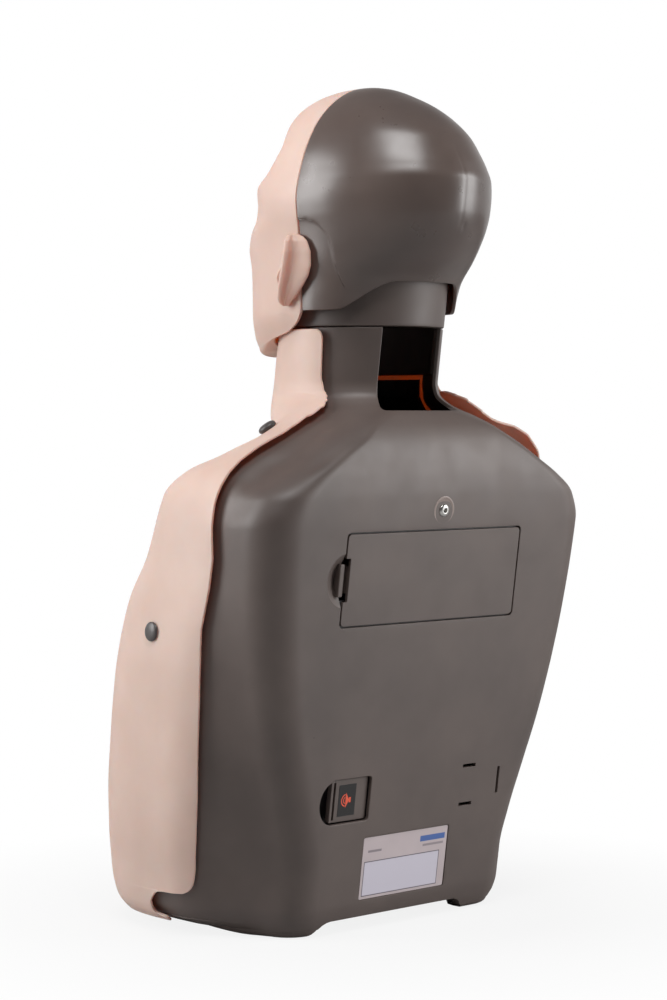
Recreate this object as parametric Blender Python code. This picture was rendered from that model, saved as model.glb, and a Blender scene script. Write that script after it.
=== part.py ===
"""CPR training manikin: head and torso bust, standing on its waist.

Frame: metres, +Z up, the face looks along -Y, the manikin's own left is +X.
The origin is on the floor below the middle of the bust.
The back is a flat panel that leans backwards; everything on it is placed in the
panel's own coordinates (across, up the slope, outwards).
"""
import math

import bmesh
import bpy
import numpy as np
from mathutils import Matrix, Vector

# Driving sizes, metres and degrees
FIT = 0.0004                      # gap between two pieces that touch
BACK_LEAN = math.radians(7.9)     # backward lean of the back panel
PANEL_Y = 0.1030                  # back panel's Y at the height below
PANEL_Z = 0.262

SHELL_WALL = 0.0026               # back shell and front frame walls
SKIN_GAP = 0.0014                 # air between shell and chest skin
SKIN_WALL = 0.0035                # chest skin thickness
SKIN_EDGE_AHEAD = 0.062           # skin's free edge, ahead of the back panel
FRAME_INSET = 0.0016              # front frame's face, below the line of the back shell
HEAD_SPLIT = 0.0006               # joint line between head shell and face mask
FRAME_SPLIT = 0.0018              # joint line between back shell and front frame

FLOOR_Z = 0.0112                  # underside of the shell's floor, inside its lower rim
FLOOR_WALL = 0.0032
FOOT_RADIUS = 0.0140
FOOT_SPOTS = ((0.0880, PANEL_Y - 0.1565), (-0.0880, PANEL_Y - 0.1565))
FOOT_REACH = 0.0490               # how far the rear corner feet run forward
ARCH_CENTRE = 0.0085              # raised arch between the rear feet
ARCH_HALF = (0.0695, 0.0815)      # half widths at its top and on the floor
ARCH_Z = 0.0098

NECK_TOP_Z = 0.4450               # top of the collar
NECK_AHEAD = 0.102                # neck axis, ahead of the back panel plane
COLLAR_RADIUS = 0.0595
WINDOW_HALF = 0.0305              # opening in the back of the collar
WINDOW_BOTTOM_Z = 0.3835
COLLAR_SLOT = (0.005, 0.012, 0.025)

TUBE_RADIUS = 0.0600              # neck tube above the collar
TUBE_WALL = 0.0030
TUBE_TOP_Z = 0.4880
TUBE_PLUG_RADIUS = 0.0560         # part of the tube inside the collar
PIVOT_Y = PANEL_Y - 0.086          # head tilt axis
PIVOT_Z = 0.465
PIN_RADIUS = 0.0040
PIN_HALF = 0.0655
PIN_FIT = 0.00013

HEAD_Y = PANEL_Y - 0.070           # plane that splits face mask and head shell
HEAD_TOP_Z = 0.6260
HEAD_WALL = 0.0026
MASK_WALL = 0.0030
SKULL_GAP = 0.0053                # air between the face mask and the frame inside it
SKIRT_Z = 0.4566                  # lower edge of the head shell at the sides
NAPE_Z = 0.4775                   # lower edge of the head shell at the nape
CHIN_Z = 0.4250
MOUTH_Z = 0.4615
MOUTH_SIZE = (0.0150, 0.0050)     # half width and half height of the open mouth

DOOR_CENTRE = (0.004, 0.0)        # battery door, on the panel
DOOR_SIZE = (0.1800, 0.0672)
DOOR_WALL = 0.0024
DOOR_GAP = 0.0009
LATCH_CENTRE_V = 0.0035
LATCH_HALF = 0.0165
LATCH_NOTCH_HALF = 0.0230

SWITCH_CENTRE = (0.0665, -0.1640)  # click switch pocket, on the panel
SWITCH_SIZE = (0.0400, 0.0335)
SWITCH_DEPTH = 0.0042
THUMB_RADIUS = 0.0170

LABEL_CENTRE = (0.0035, -0.2180)
LABEL_SIZE = (0.0885, 0.0470)
LABEL_DEPTH = 0.0009

SCREW_SPOT = (-0.0010, 0.0485)
CAP_RADIUS = 0.0108
SCREW_RADIUS = 0.0048

BUTTON_RADIUS = 0.0070
BUTTON_HEIGHT = 0.0028

CELL_LENGTH = 0.0500              # C-size cell
CELL_RADIUS = 0.0131
CELL_PITCH = 0.0520
ROW_PITCH = 0.0272

PRESS_CENTRE_Z = 0.1713           # chest compression axis
PRESS_TRAVEL = 0.050
PLATE_SIZE = (0.0540, 0.0450)     # half width and half height of the plate
POST_RADIUS = 0.0170
STEM_RADIUS = 0.0135

# Torso stations, from the floor up. Columns: height, how far the back lies ahead of
# the panel plane, half width of the flat back, corner radius, greatest half width and
# its place ahead of the panel, front's place ahead of the panel, roundness of the front.
TORSO = (
    (0.0050, 0.0038, 0.0870, 0.027, 0.1320, 0.084, 0.1880, 3.0),
    (0.0120, 0.0013, 0.0885, 0.029, 0.1465, 0.084, 0.1975, 3.1),
    (0.0220, 0.0001, 0.0895, 0.030, 0.1540, 0.084, 0.2010, 3.2),
    (0.0450, 0.0000, 0.0895, 0.030, 0.160, 0.084, 0.2025, 3.3),
    (0.0750, 0.0000, 0.0955, 0.030, 0.1665, 0.084, 0.2025, 3.3),
    (0.1100, 0.0000, 0.1060, 0.030, 0.1705, 0.084, 0.2035, 3.3),
    (0.1500, 0.0000, 0.1180, 0.030, 0.1725, 0.084, 0.2030, 3.3),
    (0.2000, 0.0000, 0.1285, 0.030, 0.1740, 0.084, 0.2020, 3.2),
    (0.2400, 0.0000, 0.1340, 0.030, 0.1720, 0.084, 0.1995, 3.0),
    (0.2750, 0.0000, 0.1370, 0.030, 0.1685, 0.084, 0.1870, 2.7),
    (0.3000, 0.0000, 0.1380, 0.030, 0.1670, 0.083, 0.1820, 2.6),
    (0.3200, 0.0006, 0.1310, 0.030, 0.1640, 0.082, 0.1775, 2.6),
    (0.3350, 0.0022, 0.1150, 0.030, 0.1580, 0.080, 0.1680, 2.2),
    (0.3500, 0.0058, 0.0940, 0.030, 0.1380, 0.077, 0.1470, 1.55),
    (0.3600, 0.0095, 0.0790, 0.030, 0.1160, 0.073, 0.1430, 1.4),
    (0.3700, 0.0155, 0.0600, 0.031, 0.0960, 0.076, 0.1480, 1.42),
    (0.3800, 0.0250, 0.0340, 0.037, 0.0770, 0.088, 0.1570, 1.7),
    (0.3880, 0.0350, 0.0140, 0.048, 0.0660, 0.097, 0.1600, 1.9),
    (0.3960, 0.0410, 0.0030, 0.057, 0.0605, 0.101, 0.1613, 2.0),
    (0.4060, 0.0425, 0.0000, 0.0595, 0.0595, 0.102, 0.1615, 2.0),
    (0.4600, 0.0425, 0.0000, 0.0595, 0.0595, 0.102, 0.1615, 2.0),
)

# Head stations below the widest level. Columns: height, half width, length behind the
# splitting plane, length ahead of it.
HEAD = (
    (0.4100, 0.0440, 0.0500, 0.0870),
    (0.4250, 0.0560, 0.0520, 0.0960),
    (0.4400, 0.0660, 0.0530, 0.0990),
    (0.4566, 0.0712, 0.0550, 0.0980),
    (0.4775, 0.0716, 0.0640, 0.0980),
    (0.4940, 0.0722, 0.0810, 0.0980),
    (0.5050, 0.0728, 0.0900, 0.0985),
    (0.5170, 0.0740, 0.0970, 0.0965),
    (0.5280, 0.0755, 0.1005, 0.0880),
    (0.5390, 0.0762, 0.1020, 0.0850),
    (0.5510, 0.0745, 0.1030, 0.0870),
    (0.5620, 0.0714, 0.0994, 0.0756),
    (0.5730, 0.0676, 0.0934, 0.0668),
    (0.5840, 0.0624, 0.0866, 0.0614),
    (0.5960, 0.0549, 0.0741, 0.0617),
    (0.6076, 0.0439, 0.0573, 0.0582),
    (0.6170, 0.0306, 0.0377, 0.0470),
    (0.6230, 0.0174, 0.0214, 0.0298),
    (0.6256, 0.0060, 0.0077, 0.0086),
)

# Working mesh counts
BACK_COLUMNS = 11
FRONT_COLUMNS = 8
HEAD_COLUMNS = 12


for old in list(bpy.data.objects):
    bpy.data.objects.remove(old, do_unlink=True)


def material(name, colour, rough, metal=0.0):
    """A Principled material from an sRGB colour."""
    mat = bpy.data.materials.new(name)
    mat.use_nodes = True
    linear = [((c / 255 + 0.055) / 1.055) ** 2.4 for c in colour]
    shader = mat.node_tree.nodes["Principled BSDF"]
    shader.inputs["Base Color"].default_value = (*linear, 1.0)
    shader.inputs["Roughness"].default_value = rough
    shader.inputs["Metallic"].default_value = metal
    mat.diffuse_color = (*linear, 1.0)
    return mat


SHELL_PLASTIC = material("shell plastic", (106, 92, 87), 0.38)
SKIN_VINYL = material("skin vinyl", (214, 192, 176), 0.5)
DARK_PLASTIC = material("dark plastic", (38, 34, 34), 0.45)
FRAME_PLASTIC = material("frame plastic", (196, 192, 186), 0.5)
BUTTON_PLASTIC = material("button plastic", (74, 66, 62), 0.4)
STEEL = material("steel", (186, 184, 180), 0.3, 1.0)
CELL_JACKET = material("cell jacket", (58, 62, 70), 0.4)
BRASS = material("contact brass", (196, 168, 96), 0.3, 1.0)
PAPER = material("label film", (182, 172, 176), 0.55)
CAP_PLASTIC = material("cap plastic", (128, 114, 108), 0.25)
BAG_FILM = material("bag film", (226, 226, 220), 0.4)
BOARD = material("board", (34, 84, 56), 0.5)
CONE_PAPER = material("cone paper", (30, 30, 32), 0.7)


def smooth_table(table, height, column):
    """A column of a station table at a height, with no overshoot between stations."""
    z = np.array([row[0] for row in table])
    v = np.array([row[column] for row in table])
    slope = np.diff(v) / np.diff(z)
    tangent = np.zeros(len(z))
    same = slope[:-1] * slope[1:] > 0
    mean = 2 * slope[:-1] * slope[1:] / np.where(same, slope[:-1] + slope[1:], 1.0)
    tangent[1:-1] = np.where(same, mean, 0.0)
    tangent[0] = slope[0]
    tangent[-1] = slope[-1]
    h = min(max(height, z[0]), z[-1])
    i = min(int(np.searchsorted(z, h, side="right")) - 1, len(z) - 2)
    step = z[i + 1] - z[i]
    t = (h - z[i]) / step
    blend = t * t * (3 - 2 * t)
    return float(
        v[i] + (v[i + 1] - v[i]) * blend
        + tangent[i] * step * t * (1 - t) ** 2
        - tangent[i + 1] * step * t * t * (1 - t)
    )


def panel_y(z):
    return PANEL_Y + math.tan(BACK_LEAN) * (z - PANEL_Z)


def torso_half(z):
    """Half outline of shell and frame at a height, from the back's middle to the front's."""
    ahead, flat, corner, wide, wide_at, front_at, power = (
        smooth_table(TORSO, z, c) for c in range(1, 8)
    )
    rear = panel_y(z)
    points = []
    for i in range(6):
        points.append((flat * i / 6, rear - ahead))
    run = wide_at - ahead - corner
    out = wide - flat - corner
    flare = 0.75 * math.atan2(max(out, 0.0), max(run, 1e-4)) if run > 1e-3 else 0.0
    for i in range(13):
        a = math.pi / 2 - (math.pi / 2 - flare) * i / 12
        points.append((flat + corner * math.cos(a), rear - ahead - corner + corner * math.sin(a)))
    start = Vector(points[-1])
    end = Vector((wide, rear - wide_at))
    reach = (end - start).length
    if reach > 1e-5:
        way = Vector((math.sin(flare), -math.cos(flare)))
        p1 = start + way * reach * 0.36
        p2 = end + Vector((0.0, reach * 0.36))
        for i in range(1, 13):
            t = i / 12
            p = start * (1 - t) ** 3 + p1 * 3 * t * (1 - t) ** 2 + p2 * 3 * t * t * (1 - t) + end * t ** 3
            points.append((p.x, p.y))
    rim = len(points) - 1
    depth = front_at - wide_at
    for i in range(1, 33):
        a = math.pi / 2 * i / 32
        x = wide * abs(math.cos(a)) ** (2 / power)
        y = rear - wide_at - depth * abs(math.sin(a)) ** (2 / power)
        points.append((x if i < 32 else 0.0, y))
    return np.array(points), rim


def resample(points, count):
    """Evenly spaced points along a polyline."""
    step = np.linalg.norm(np.diff(points, axis=0), axis=1)
    run = np.concatenate([[0.0], np.cumsum(step)])
    at = np.linspace(0.0, run[-1], count)
    return np.stack([np.interp(at, run, points[:, k]) for k in range(points.shape[1])], 1)


def grid_normals(grid):
    """Unit normals of a grid of points, pointing out when rows rise and columns turn left."""
    du = np.gradient(grid, axis=1)
    dv = np.gradient(grid, axis=0)
    n = np.cross(du, dv)
    size = np.linalg.norm(n, axis=2, keepdims=True)
    return n / np.maximum(size, 1e-12)


def add_object(name, mesh, mat):
    obj = bpy.data.objects.new(name, mesh)
    bpy.context.scene.collection.objects.link(obj)
    mesh.materials.clear()
    mesh.materials.append(mat)
    return obj


def mesh_from_bmesh(name, bm, smooth=True):
    bmesh.ops.remove_doubles(bm, verts=bm.verts, dist=1e-6)
    bmesh.ops.recalc_face_normals(bm, faces=bm.faces)
    mesh = bpy.data.meshes.new(name)
    bm.to_mesh(mesh)
    bm.free()
    if smooth:
        mesh.shade_smooth()
        mesh.set_sharp_from_angle(angle=math.radians(38))
    return mesh


def sheet(name, outer, inner, mat, closed=False):
    """A closed solid between two grids of points of the same size."""
    rows, cols = outer.shape[:2]
    bm = bmesh.new()
    a = [[bm.verts.new(p) for p in row] for row in outer]
    b = [[bm.verts.new(p) for p in row] for row in inner]
    span = cols if closed else cols - 1

    def quad(p, q, r, s):
        distinct = []
        for v in (p, q, r, s):
            if all((v.co - w.co).length > 1e-6 for w in distinct):
                distinct.append(v)
        if len(distinct) > 2:
            bm.faces.new(distinct)

    for i in range(rows - 1):
        for j in range(span):
            k = (j + 1) % cols
            quad(a[i][j], a[i][k], a[i + 1][k], a[i + 1][j])
            quad(b[i][k], b[i][j], b[i + 1][j], b[i + 1][k])
    for j in range(span):
        k = (j + 1) % cols
        quad(a[0][k], a[0][j], b[0][j], b[0][k])
        quad(a[-1][j], a[-1][k], b[-1][k], b[-1][j])
    if not closed:
        for i in range(rows - 1):
            quad(a[i][0], a[i + 1][0], b[i + 1][0], b[i][0])
            quad(a[i + 1][-1], a[i][-1], b[i][-1], b[i + 1][-1])
    return add_object(name, mesh_from_bmesh(name, bm), mat)


def panel_point(u, v, w=0.0):
    m = Vector((0, PANEL_Y, PANEL_Z))
    up = Vector((0, math.sin(BACK_LEAN), math.cos(BACK_LEAN)))
    out = Vector((0, math.cos(BACK_LEAN), -math.sin(BACK_LEAN)))
    return m + Vector((u, 0, 0)) + up * v + out * w


def rounded_outline(half_x, half_y, radius, steps=4):
    """Corner-rounded rectangle, anticlockwise."""
    points = []
    for cx, cy, start in ((1, 1, 0), (-1, 1, 90), (-1, -1, 180), (1, -1, 270)):
        for i in range(steps + 1):
            a = math.radians(start + 90 * i / steps)
            points.append((
                cx * (half_x - radius) + radius * math.cos(a),
                cy * (half_y - radius) + radius * math.sin(a),
            ))
    return points


def circle_outline(radius, steps=24, squash=1.0):
    return [
        (radius * math.cos(2 * math.pi * i / steps), radius * squash * math.sin(2 * math.pi * i / steps))
        for i in range(steps)
    ]


def prism(name, outline, low, high, mat, place=None):
    """An extruded outline between two levels, placed by a function of (u, v, w)."""
    bm = bmesh.new()
    bottom = [bm.verts.new((x, y, low)) for x, y in outline]
    face = bm.faces.new(bottom)
    extruded = bmesh.ops.extrude_face_region(bm, geom=[face])
    top = [g for g in extruded["geom"] if isinstance(g, bmesh.types.BMVert)]
    bmesh.ops.translate(bm, verts=top, vec=(0, 0, high - low))
    if place is not None:
        for v in bm.verts:
            v.co = place(v.co)
    return add_object(name, mesh_from_bmesh(name, bm), mat)


def on_panel(u=0.0, v=0.0):
    return lambda co: panel_point(u + co.x, v + co.y, co.z)


def turned(name, profile, mat, steps=24, place=None):
    """A body turned about its own Z from (radius, height) points; radius 0 closes it."""
    bm = bmesh.new()
    rings = []
    for r, h in profile:
        if r < 1e-7:
            rings.append([bm.verts.new((0, 0, h))])
            continue
        rings.append([
            bm.verts.new((
                r * math.cos(2 * math.pi * i / steps),
                r * math.sin(2 * math.pi * i / steps),
                h,
            ))
            for i in range(steps)
        ])
    loop = rings if profile[0][0] < 1e-7 else rings + [rings[0]]
    for low, high in zip(loop[:-1], loop[1:]):
        for i in range(steps):
            k = (i + 1) % steps
            corners = [low[i % len(low)], low[k % len(low)], high[k % len(high)], high[i % len(high)]]
            distinct = []
            for v in corners:
                if v not in distinct:
                    distinct.append(v)
            bm.faces.new(distinct)
    if place is not None:
        for v in bm.verts:
            v.co = place(v.co)
    return add_object(name, mesh_from_bmesh(name, bm), mat)


def boolean(obj, tool, operation):
    """Apply an exact Boolean and remove the tool."""
    mod = obj.modifiers.new("cut", "BOOLEAN")
    mod.operation = operation
    mod.solver = "EXACT"
    mod.object = tool
    graph = bpy.context.evaluated_depsgraph_get()
    mesh = bpy.data.meshes.new_from_object(obj.evaluated_get(graph))
    obj.modifiers.clear()
    mats = list(obj.data.materials)
    obj.data = mesh
    mesh.materials.clear()
    for mat in mats:
        mesh.materials.append(mat)
    for polygon in mesh.polygons:
        polygon.material_index = 0
    bpy.data.objects.remove(tool, do_unlink=True)
    return obj


def tidy(obj):
    """Merge doubled points and dissolve needle faces left by the cuts."""
    bm = bmesh.new()
    bm.from_mesh(obj.data)
    bmesh.ops.remove_doubles(bm, verts=bm.verts, dist=5e-6)
    bmesh.ops.dissolve_degenerate(bm, edges=bm.edges, dist=2e-6)
    bm.to_mesh(obj.data)
    bm.free()
    obj.data.shade_smooth()
    obj.data.set_sharp_from_angle(angle=math.radians(38))
    return obj


def cut(obj, tool):
    return boolean(obj, tool, "DIFFERENCE")


def join(obj, tool):
    return boolean(obj, tool, "UNION")


# Torso
def rim_share(z):
    """Share of the run from mid-back to the widest line that the back shell covers."""
    neck = min(max((z - 0.372) / 0.024, 0.0), 1.0)
    waist = min(max((0.045 - z) / 0.012, 0.0), 1.0)
    return 1.0 - 0.14 * neck + 0.42 * waist


BACK_HEIGHTS = (
    0.0050, 0.0120, 0.0220, 0.0330, 0.0450, 0.0750, 0.1100, 0.1500, 0.2000, 0.2400, 0.2750, 0.3000,
    0.3200, 0.3350, 0.3450, 0.3550, 0.3640, 0.3720, 0.3800, 0.3880, 0.3960, 0.4080, 0.4270, NECK_TOP_Z,
)


def back_row(z):
    """Full row of the back shell's outer face, from the right rim round to the left."""
    part, rim = torso_half(z)
    step = np.linalg.norm(np.diff(part, axis=0), axis=1)
    run = np.concatenate([[0.0], np.cumsum(step)])
    total = run[rim] * rim_share(z)
    flat = smooth_table(TORSO, z, 2)
    bend = run[min(18, rim)]
    marks = [0.0]
    first = min(flat, 0.4 * total)
    marks += [first * k / 2 for k in (1, 2)]
    arc_end = min(max(bend, first + 0.2 * (total - first)), first + 0.75 * (total - first))
    marks += [first + (arc_end - first) * k / 5 for k in range(1, 6)]
    rest = BACK_COLUMNS - 7
    marks += [arc_end + (total - arc_end) * k / rest for k in range(1, rest + 1)]
    half = np.stack([np.interp(marks, run, part[:, k]) for k in range(2)], 1)
    left = [(x, y, z) for x, y in half]
    right = [(-x, y, z) for x, y in half[:0:-1]]
    return np.array(right + left)


outer = np.array([back_row(z) for z in BACK_HEIGHTS])[:, ::-1]
normals = grid_normals(outer)
if normals[9, outer.shape[1] // 2, 1] < 0:
    normals = -normals
inner = outer - normals * SHELL_WALL
inner[0, :, 2] = outer[0, :, 2]
inner[-1, :, 2] = outer[-1, :, 2]
back_shell = sheet("back_shell", outer, inner, SHELL_PLASTIC)


def full_outline(z, inset, count=40):
    """Whole outline at a height, moved inwards, and further in under the front frame."""
    points = torso_half(z)[0]
    half = resample(points, count // 2 + 1)
    ring = np.concatenate([half, half[-2:0:-1] * (-1, 1)])
    tangent = np.roll(ring, -1, 0) - np.roll(ring, 1, 0)
    normal = np.stack([tangent[:, 1], -tangent[:, 0]], 1)
    normal /= np.linalg.norm(normal, axis=1, keepdims=True)
    centre = ring.mean(0)
    if np.mean(np.sum(normal * (ring - centre), 1)) < 0:
        normal = -normal
    ahead = panel_y(z) - ring[:, 1:2]
    return ring - normal * (inset + 0.0075 * np.clip((ahead - 0.150) / 0.014, 0.0, 1.0))


def stacked(name, rings, mat):
    """A closed solid through rings of points, the first and last of them flat ends."""
    bm = bmesh.new()
    loops = [[bm.verts.new(p) for p in ring] for ring in rings]
    for low, high in zip(loops[:-1], loops[1:]):
        for i in range(len(low)):
            k = (i + 1) % len(low)
            bm.faces.new((low[i], low[k], high[k], high[i]))
    bm.faces.new(loops[0])
    bm.faces.new(loops[-1])
    return add_object(name, mesh_from_bmesh(name, bm), mat)


floor = prism(
    "floor", [tuple(p) for p in full_outline(0.0130, 0.0012)], FLOOR_Z, FLOOR_Z + FLOOR_WALL,
    SHELL_PLASTIC,
)
join(back_shell, floor)
for sign in (1, -1):
    rings = []
    for z, inset in ((0.0, 0.0062), (0.0022, 0.0030), (0.0070, 0.0012), (FLOOR_Z + 0.0010, 0.0012)):
        ring = [
            (x, y, z) for x, y in full_outline(0.0065, inset, 72)
            if sign * x > 0.0590 and y > panel_y(0.0) - FOOT_REACH
        ]
        middle_x = sum(p[0] for p in ring) / len(ring)
        middle_y = sum(p[1] for p in ring) / len(ring)
        ring.sort(key=lambda p, x=middle_x, y=middle_y: math.atan2(p[1] - y, p[0] - x))
        rings.append(ring)
    join(back_shell, stacked("corner_foot", rings, SHELL_PLASTIC))
for index, (x, y) in enumerate(FOOT_SPOTS):
    foot = turned(
        f"foot{index}",
        (
            (0, 0), (FOOT_RADIUS * 0.8, 0), (FOOT_RADIUS, 0.0016), (FOOT_RADIUS, FLOOR_Z + 0.0010),
            (0, FLOOR_Z + 0.0010),
        ),
        SHELL_PLASTIC, steps=16,
        place=lambda co, x=x, y=y: Vector((x + co.x, y + co.y, co.z)),
    )
    join(back_shell, foot)

# Openings and recesses of the back shell
door_hole = prism(
    "door_hole",
    rounded_outline(DOOR_SIZE[0] / 2 + DOOR_GAP, DOOR_SIZE[1] / 2 + DOOR_GAP, 0.004, 3),
    -0.012, 0.012, SHELL_PLASTIC, on_panel(*DOOR_CENTRE),
)
cut(back_shell, door_hole)
LATCH_U = DOOR_CENTRE[0] + DOOR_SIZE[0] / 2
finger = prism(
    "finger", circle_outline(0.0245, 20, 1.0), -0.012, 0.012, SHELL_PLASTIC,
    lambda co: panel_point(LATCH_U - 0.004 + co.x * 0.60, LATCH_CENTRE_V + co.y, co.z),
)
cut(back_shell, finger)
switch_hole = prism(
    "switch_hole", rounded_outline(SWITCH_SIZE[0] / 2, SWITCH_SIZE[1] / 2, 0.0025, 2),
    -0.012, 0.012, SHELL_PLASTIC, on_panel(*SWITCH_CENTRE),
)
cut(back_shell, switch_hole)
thumb = prism(
    "thumb", circle_outline(THUMB_RADIUS, 20), -0.012, 0.012, SHELL_PLASTIC,
    lambda co: panel_point(
        SWITCH_CENTRE[0] + SWITCH_SIZE[0] / 2 - 0.004 + co.x * 0.85,
        SWITCH_CENTRE[1] - 0.0005 + co.y * 0.96, co.z,
    ),
)
cut(back_shell, thumb)
label_well = prism(
    "label_well", rounded_outline(LABEL_SIZE[0] / 2 + 0.0006, LABEL_SIZE[1] / 2 + 0.0006, 0.001, 2),
    -LABEL_DEPTH, 0.010, SHELL_PLASTIC, on_panel(*LABEL_CENTRE),
)
cut(back_shell, label_well)
cap_well = prism(
    "cap_well", circle_outline(CAP_RADIUS + FIT, 24), -0.0013, 0.010, SHELL_PLASTIC,
    on_panel(*SCREW_SPOT),
)
cut(back_shell, cap_well)
screw_hole = prism(
    "screw_hole", circle_outline(0.0026, 12), -0.012, 0.010, SHELL_PLASTIC, on_panel(*SCREW_SPOT),
)
cut(back_shell, screw_hole)
SLOTS = (
    (-0.0570, -0.1495, 0.0070, 0.0013),
    (-0.0565, -0.1795, 0.0070, 0.0013),
    (-0.0905, -0.1640, 0.0013, 0.0105),
)
for index, (u, v, half_u, half_v) in enumerate(SLOTS):
    slot = prism(
        f"slot{index}", rounded_outline(half_u, half_v, 0.0005, 1), -0.012, 0.010, SHELL_PLASTIC,
        on_panel(u, v),
    )
    cut(back_shell, slot)


def box(name, low, high, mat):
    outline = ((low[0], low[1]), (high[0], low[1]), (high[0], high[1]), (low[0], high[1]))
    return prism(name, outline, low[2], high[2], mat)


window = box(
    "window", (-WINDOW_HALF, HEAD_Y - 0.02, WINDOW_BOTTOM_Z), (WINDOW_HALF, 0.14, NECK_TOP_Z + 0.01),
    SHELL_PLASTIC,
)
cut(back_shell, window)
NECK_CENTRE_Y = panel_y(0.424) - NECK_AHEAD
side_slot = box(
    "side_slot", (-0.0475, NECK_CENTRE_Y + 0.034, 0.411), (-0.0415, NECK_CENTRE_Y + 0.06, 0.436), SHELL_PLASTIC,
)
cut(back_shell, side_slot)
arch_low = ARCH_HALF[1] + 0.0122
cut(back_shell, prism(
    "arch",
    (
        (ARCH_CENTRE - ARCH_HALF[0], ARCH_Z), (ARCH_CENTRE - arch_low, -ARCH_Z),
        (ARCH_CENTRE + arch_low, -ARCH_Z), (ARCH_CENTRE + ARCH_HALF[0], ARCH_Z),
    ),
    panel_y(0.0) - 0.060, 0.14, SHELL_PLASTIC, lambda co: Vector((co.x, co.z, co.y)),
))
tidy(back_shell)


# Front frame under the skin
FRAME_HEIGHTS = (
    0.0170, 0.0240, 0.0330, 0.0450, 0.0750, 0.1100, 0.1500, 0.2000, 0.2400, 0.2750, 0.3000,
    0.3200, 0.3350, 0.3450, 0.3550, 0.3640, 0.3720, 0.3800, 0.3880, 0.3960, 0.4080,
)


def front_marks(level, points, rim):
    """Runs along the half outline, from the joint line at a level to the middle of the front."""
    dist = np.concatenate([[0.0], np.cumsum(np.linalg.norm(np.diff(points, axis=0), axis=1))])
    waist = min(max((0.056 - level) / 0.012, 0.0), 1.0)
    start = dist[rim] * rim_share(level - 0.0030) + FRAME_SPLIT + 0.009 * waist
    return dist, np.linspace(start, dist[-1], FRONT_COLUMNS + 1)


def front_row(z):
    points, rim = torso_half(z)
    dist, marks = front_marks(z, points, rim)
    half = np.stack([np.interp(marks, dist, points[:, k]) for k in range(2)], 1)
    left = [(x, y, z) for x, y in half]
    right = [(-x, y, z) for x, y in half[:-1]]
    return np.array(left + right[::-1])


front_outer = np.array([front_row(z) for z in FRAME_HEIGHTS])[:, ::-1]
front_normals = grid_normals(front_outer)
if front_normals[6, front_outer.shape[1] // 2, 1] > 0:
    front_normals = -front_normals
frame_z = front_outer[:, :, 2:3]
inset = FRAME_INSET + 0.0040 * np.clip((0.056 - frame_z) / 0.012, 0.0, 1.0)
inset += 0.0026 * np.clip((frame_z - 0.310) / 0.020, 0.0, 1.0)
front_inner = front_outer - front_normals * (SHELL_WALL + inset)
front_outer = front_outer - front_normals * inset
front_outer[0, :, 2] = FRAME_HEIGHTS[0]
front_inner[0, :, 2] = front_outer[0, :, 2]
front_frame = sheet("front_frame", front_outer, front_inner, FRAME_PLASTIC)
PRESS_V = (PRESS_CENTRE_Z - PANEL_Z) / math.cos(BACK_LEAN)


def ellipse_on_panel(half_u, half_v, steps=28):
    return [
        (half_u * math.cos(2 * math.pi * i / steps), half_v * math.sin(2 * math.pi * i / steps))
        for i in range(steps)
    ]


press_hole = prism(
    "press_hole", ellipse_on_panel(PLATE_SIZE[0] + 0.0025, PLATE_SIZE[1] + 0.0025), -0.24, -0.16,
    FRAME_PLASTIC, on_panel(0.0, PRESS_V),
)
cut(front_frame, press_hole)
screw_post = turned(
    "screw_post",
    ((0.0019, -0.0045), (0.0065, -0.0045), (0.0075, -0.1560), (0.0019, -0.1560)),
    FRAME_PLASTIC, steps=12,
    place=lambda co: panel_point(SCREW_SPOT[0] + co.x, SCREW_SPOT[1] + co.y, co.z),
)
join(front_frame, screw_post)
tidy(front_frame)


# Chest skin
def skin_start(z, points, rim):
    """Run along the half outline at which the skin's free edge lies."""
    dist = np.concatenate([[0.0], np.cumsum(np.linalg.norm(np.diff(points, axis=0), axis=1))])
    ahead = panel_y(z) - points[:, 1]
    edge = SKIN_EDGE_AHEAD + 0.020 * min(max((z - 0.380) / 0.012, 0.0), 1.0)
    at = int(np.argmax(ahead >= edge))
    return dist[at - 1] + (dist[at] - dist[at - 1]) * (edge - ahead[at - 1]) / (ahead[at] - ahead[at - 1])


SKIN_HEIGHTS = (
    0.0330, 0.0355, 0.0380, 0.0410, 0.0450, 0.0750, 0.1100, 0.1500, 0.2000, 0.2400, 0.2750, 0.3000, 0.3200, 0.3350,
    0.3450, 0.3550, 0.3640, 0.3720, 0.3800, 0.3880, 0.3960, 0.4060, 0.4200, 0.4330, 0.4430,
)
FLAP_COLUMNS = 3


def skin_row(z):
    points, rim = torso_half(z)
    dist, marks = front_marks(max(z, 0.0600), points, rim)
    flap = np.linspace(skin_start(z, points, rim), marks[0], FLAP_COLUMNS + 1)[:-1]
    marks = np.concatenate([flap, marks])
    half = np.stack([np.interp(marks, dist, points[:, k]) for k in range(2)], 1)
    left = [(x, y, z) for x, y in half]
    right = [(-x, y, z) for x, y in half[:-1]]
    return np.array(left + right[::-1])


base = np.array([skin_row(z) for z in SKIN_HEIGHTS])[:, ::-1]
columns = base.shape[1]
middle = columns // 2
# The throat dips towards the front: the upper rows are drawn down near the middle.
for j in range(columns):
    side = abs(j - middle) / middle
    dip = 0.030 * (1 - min(side / 0.72, 1.0) ** 2)
    for i, z in enumerate(SKIN_HEIGHTS):
        share = min(max((z - 0.396) / (0.443 - 0.396), 0.0), 1.0)
        lowered = z - dip * share
        if share > 0:
            row = skin_row(lowered)[::-1]
            base[i, j] = row[j]
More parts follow.
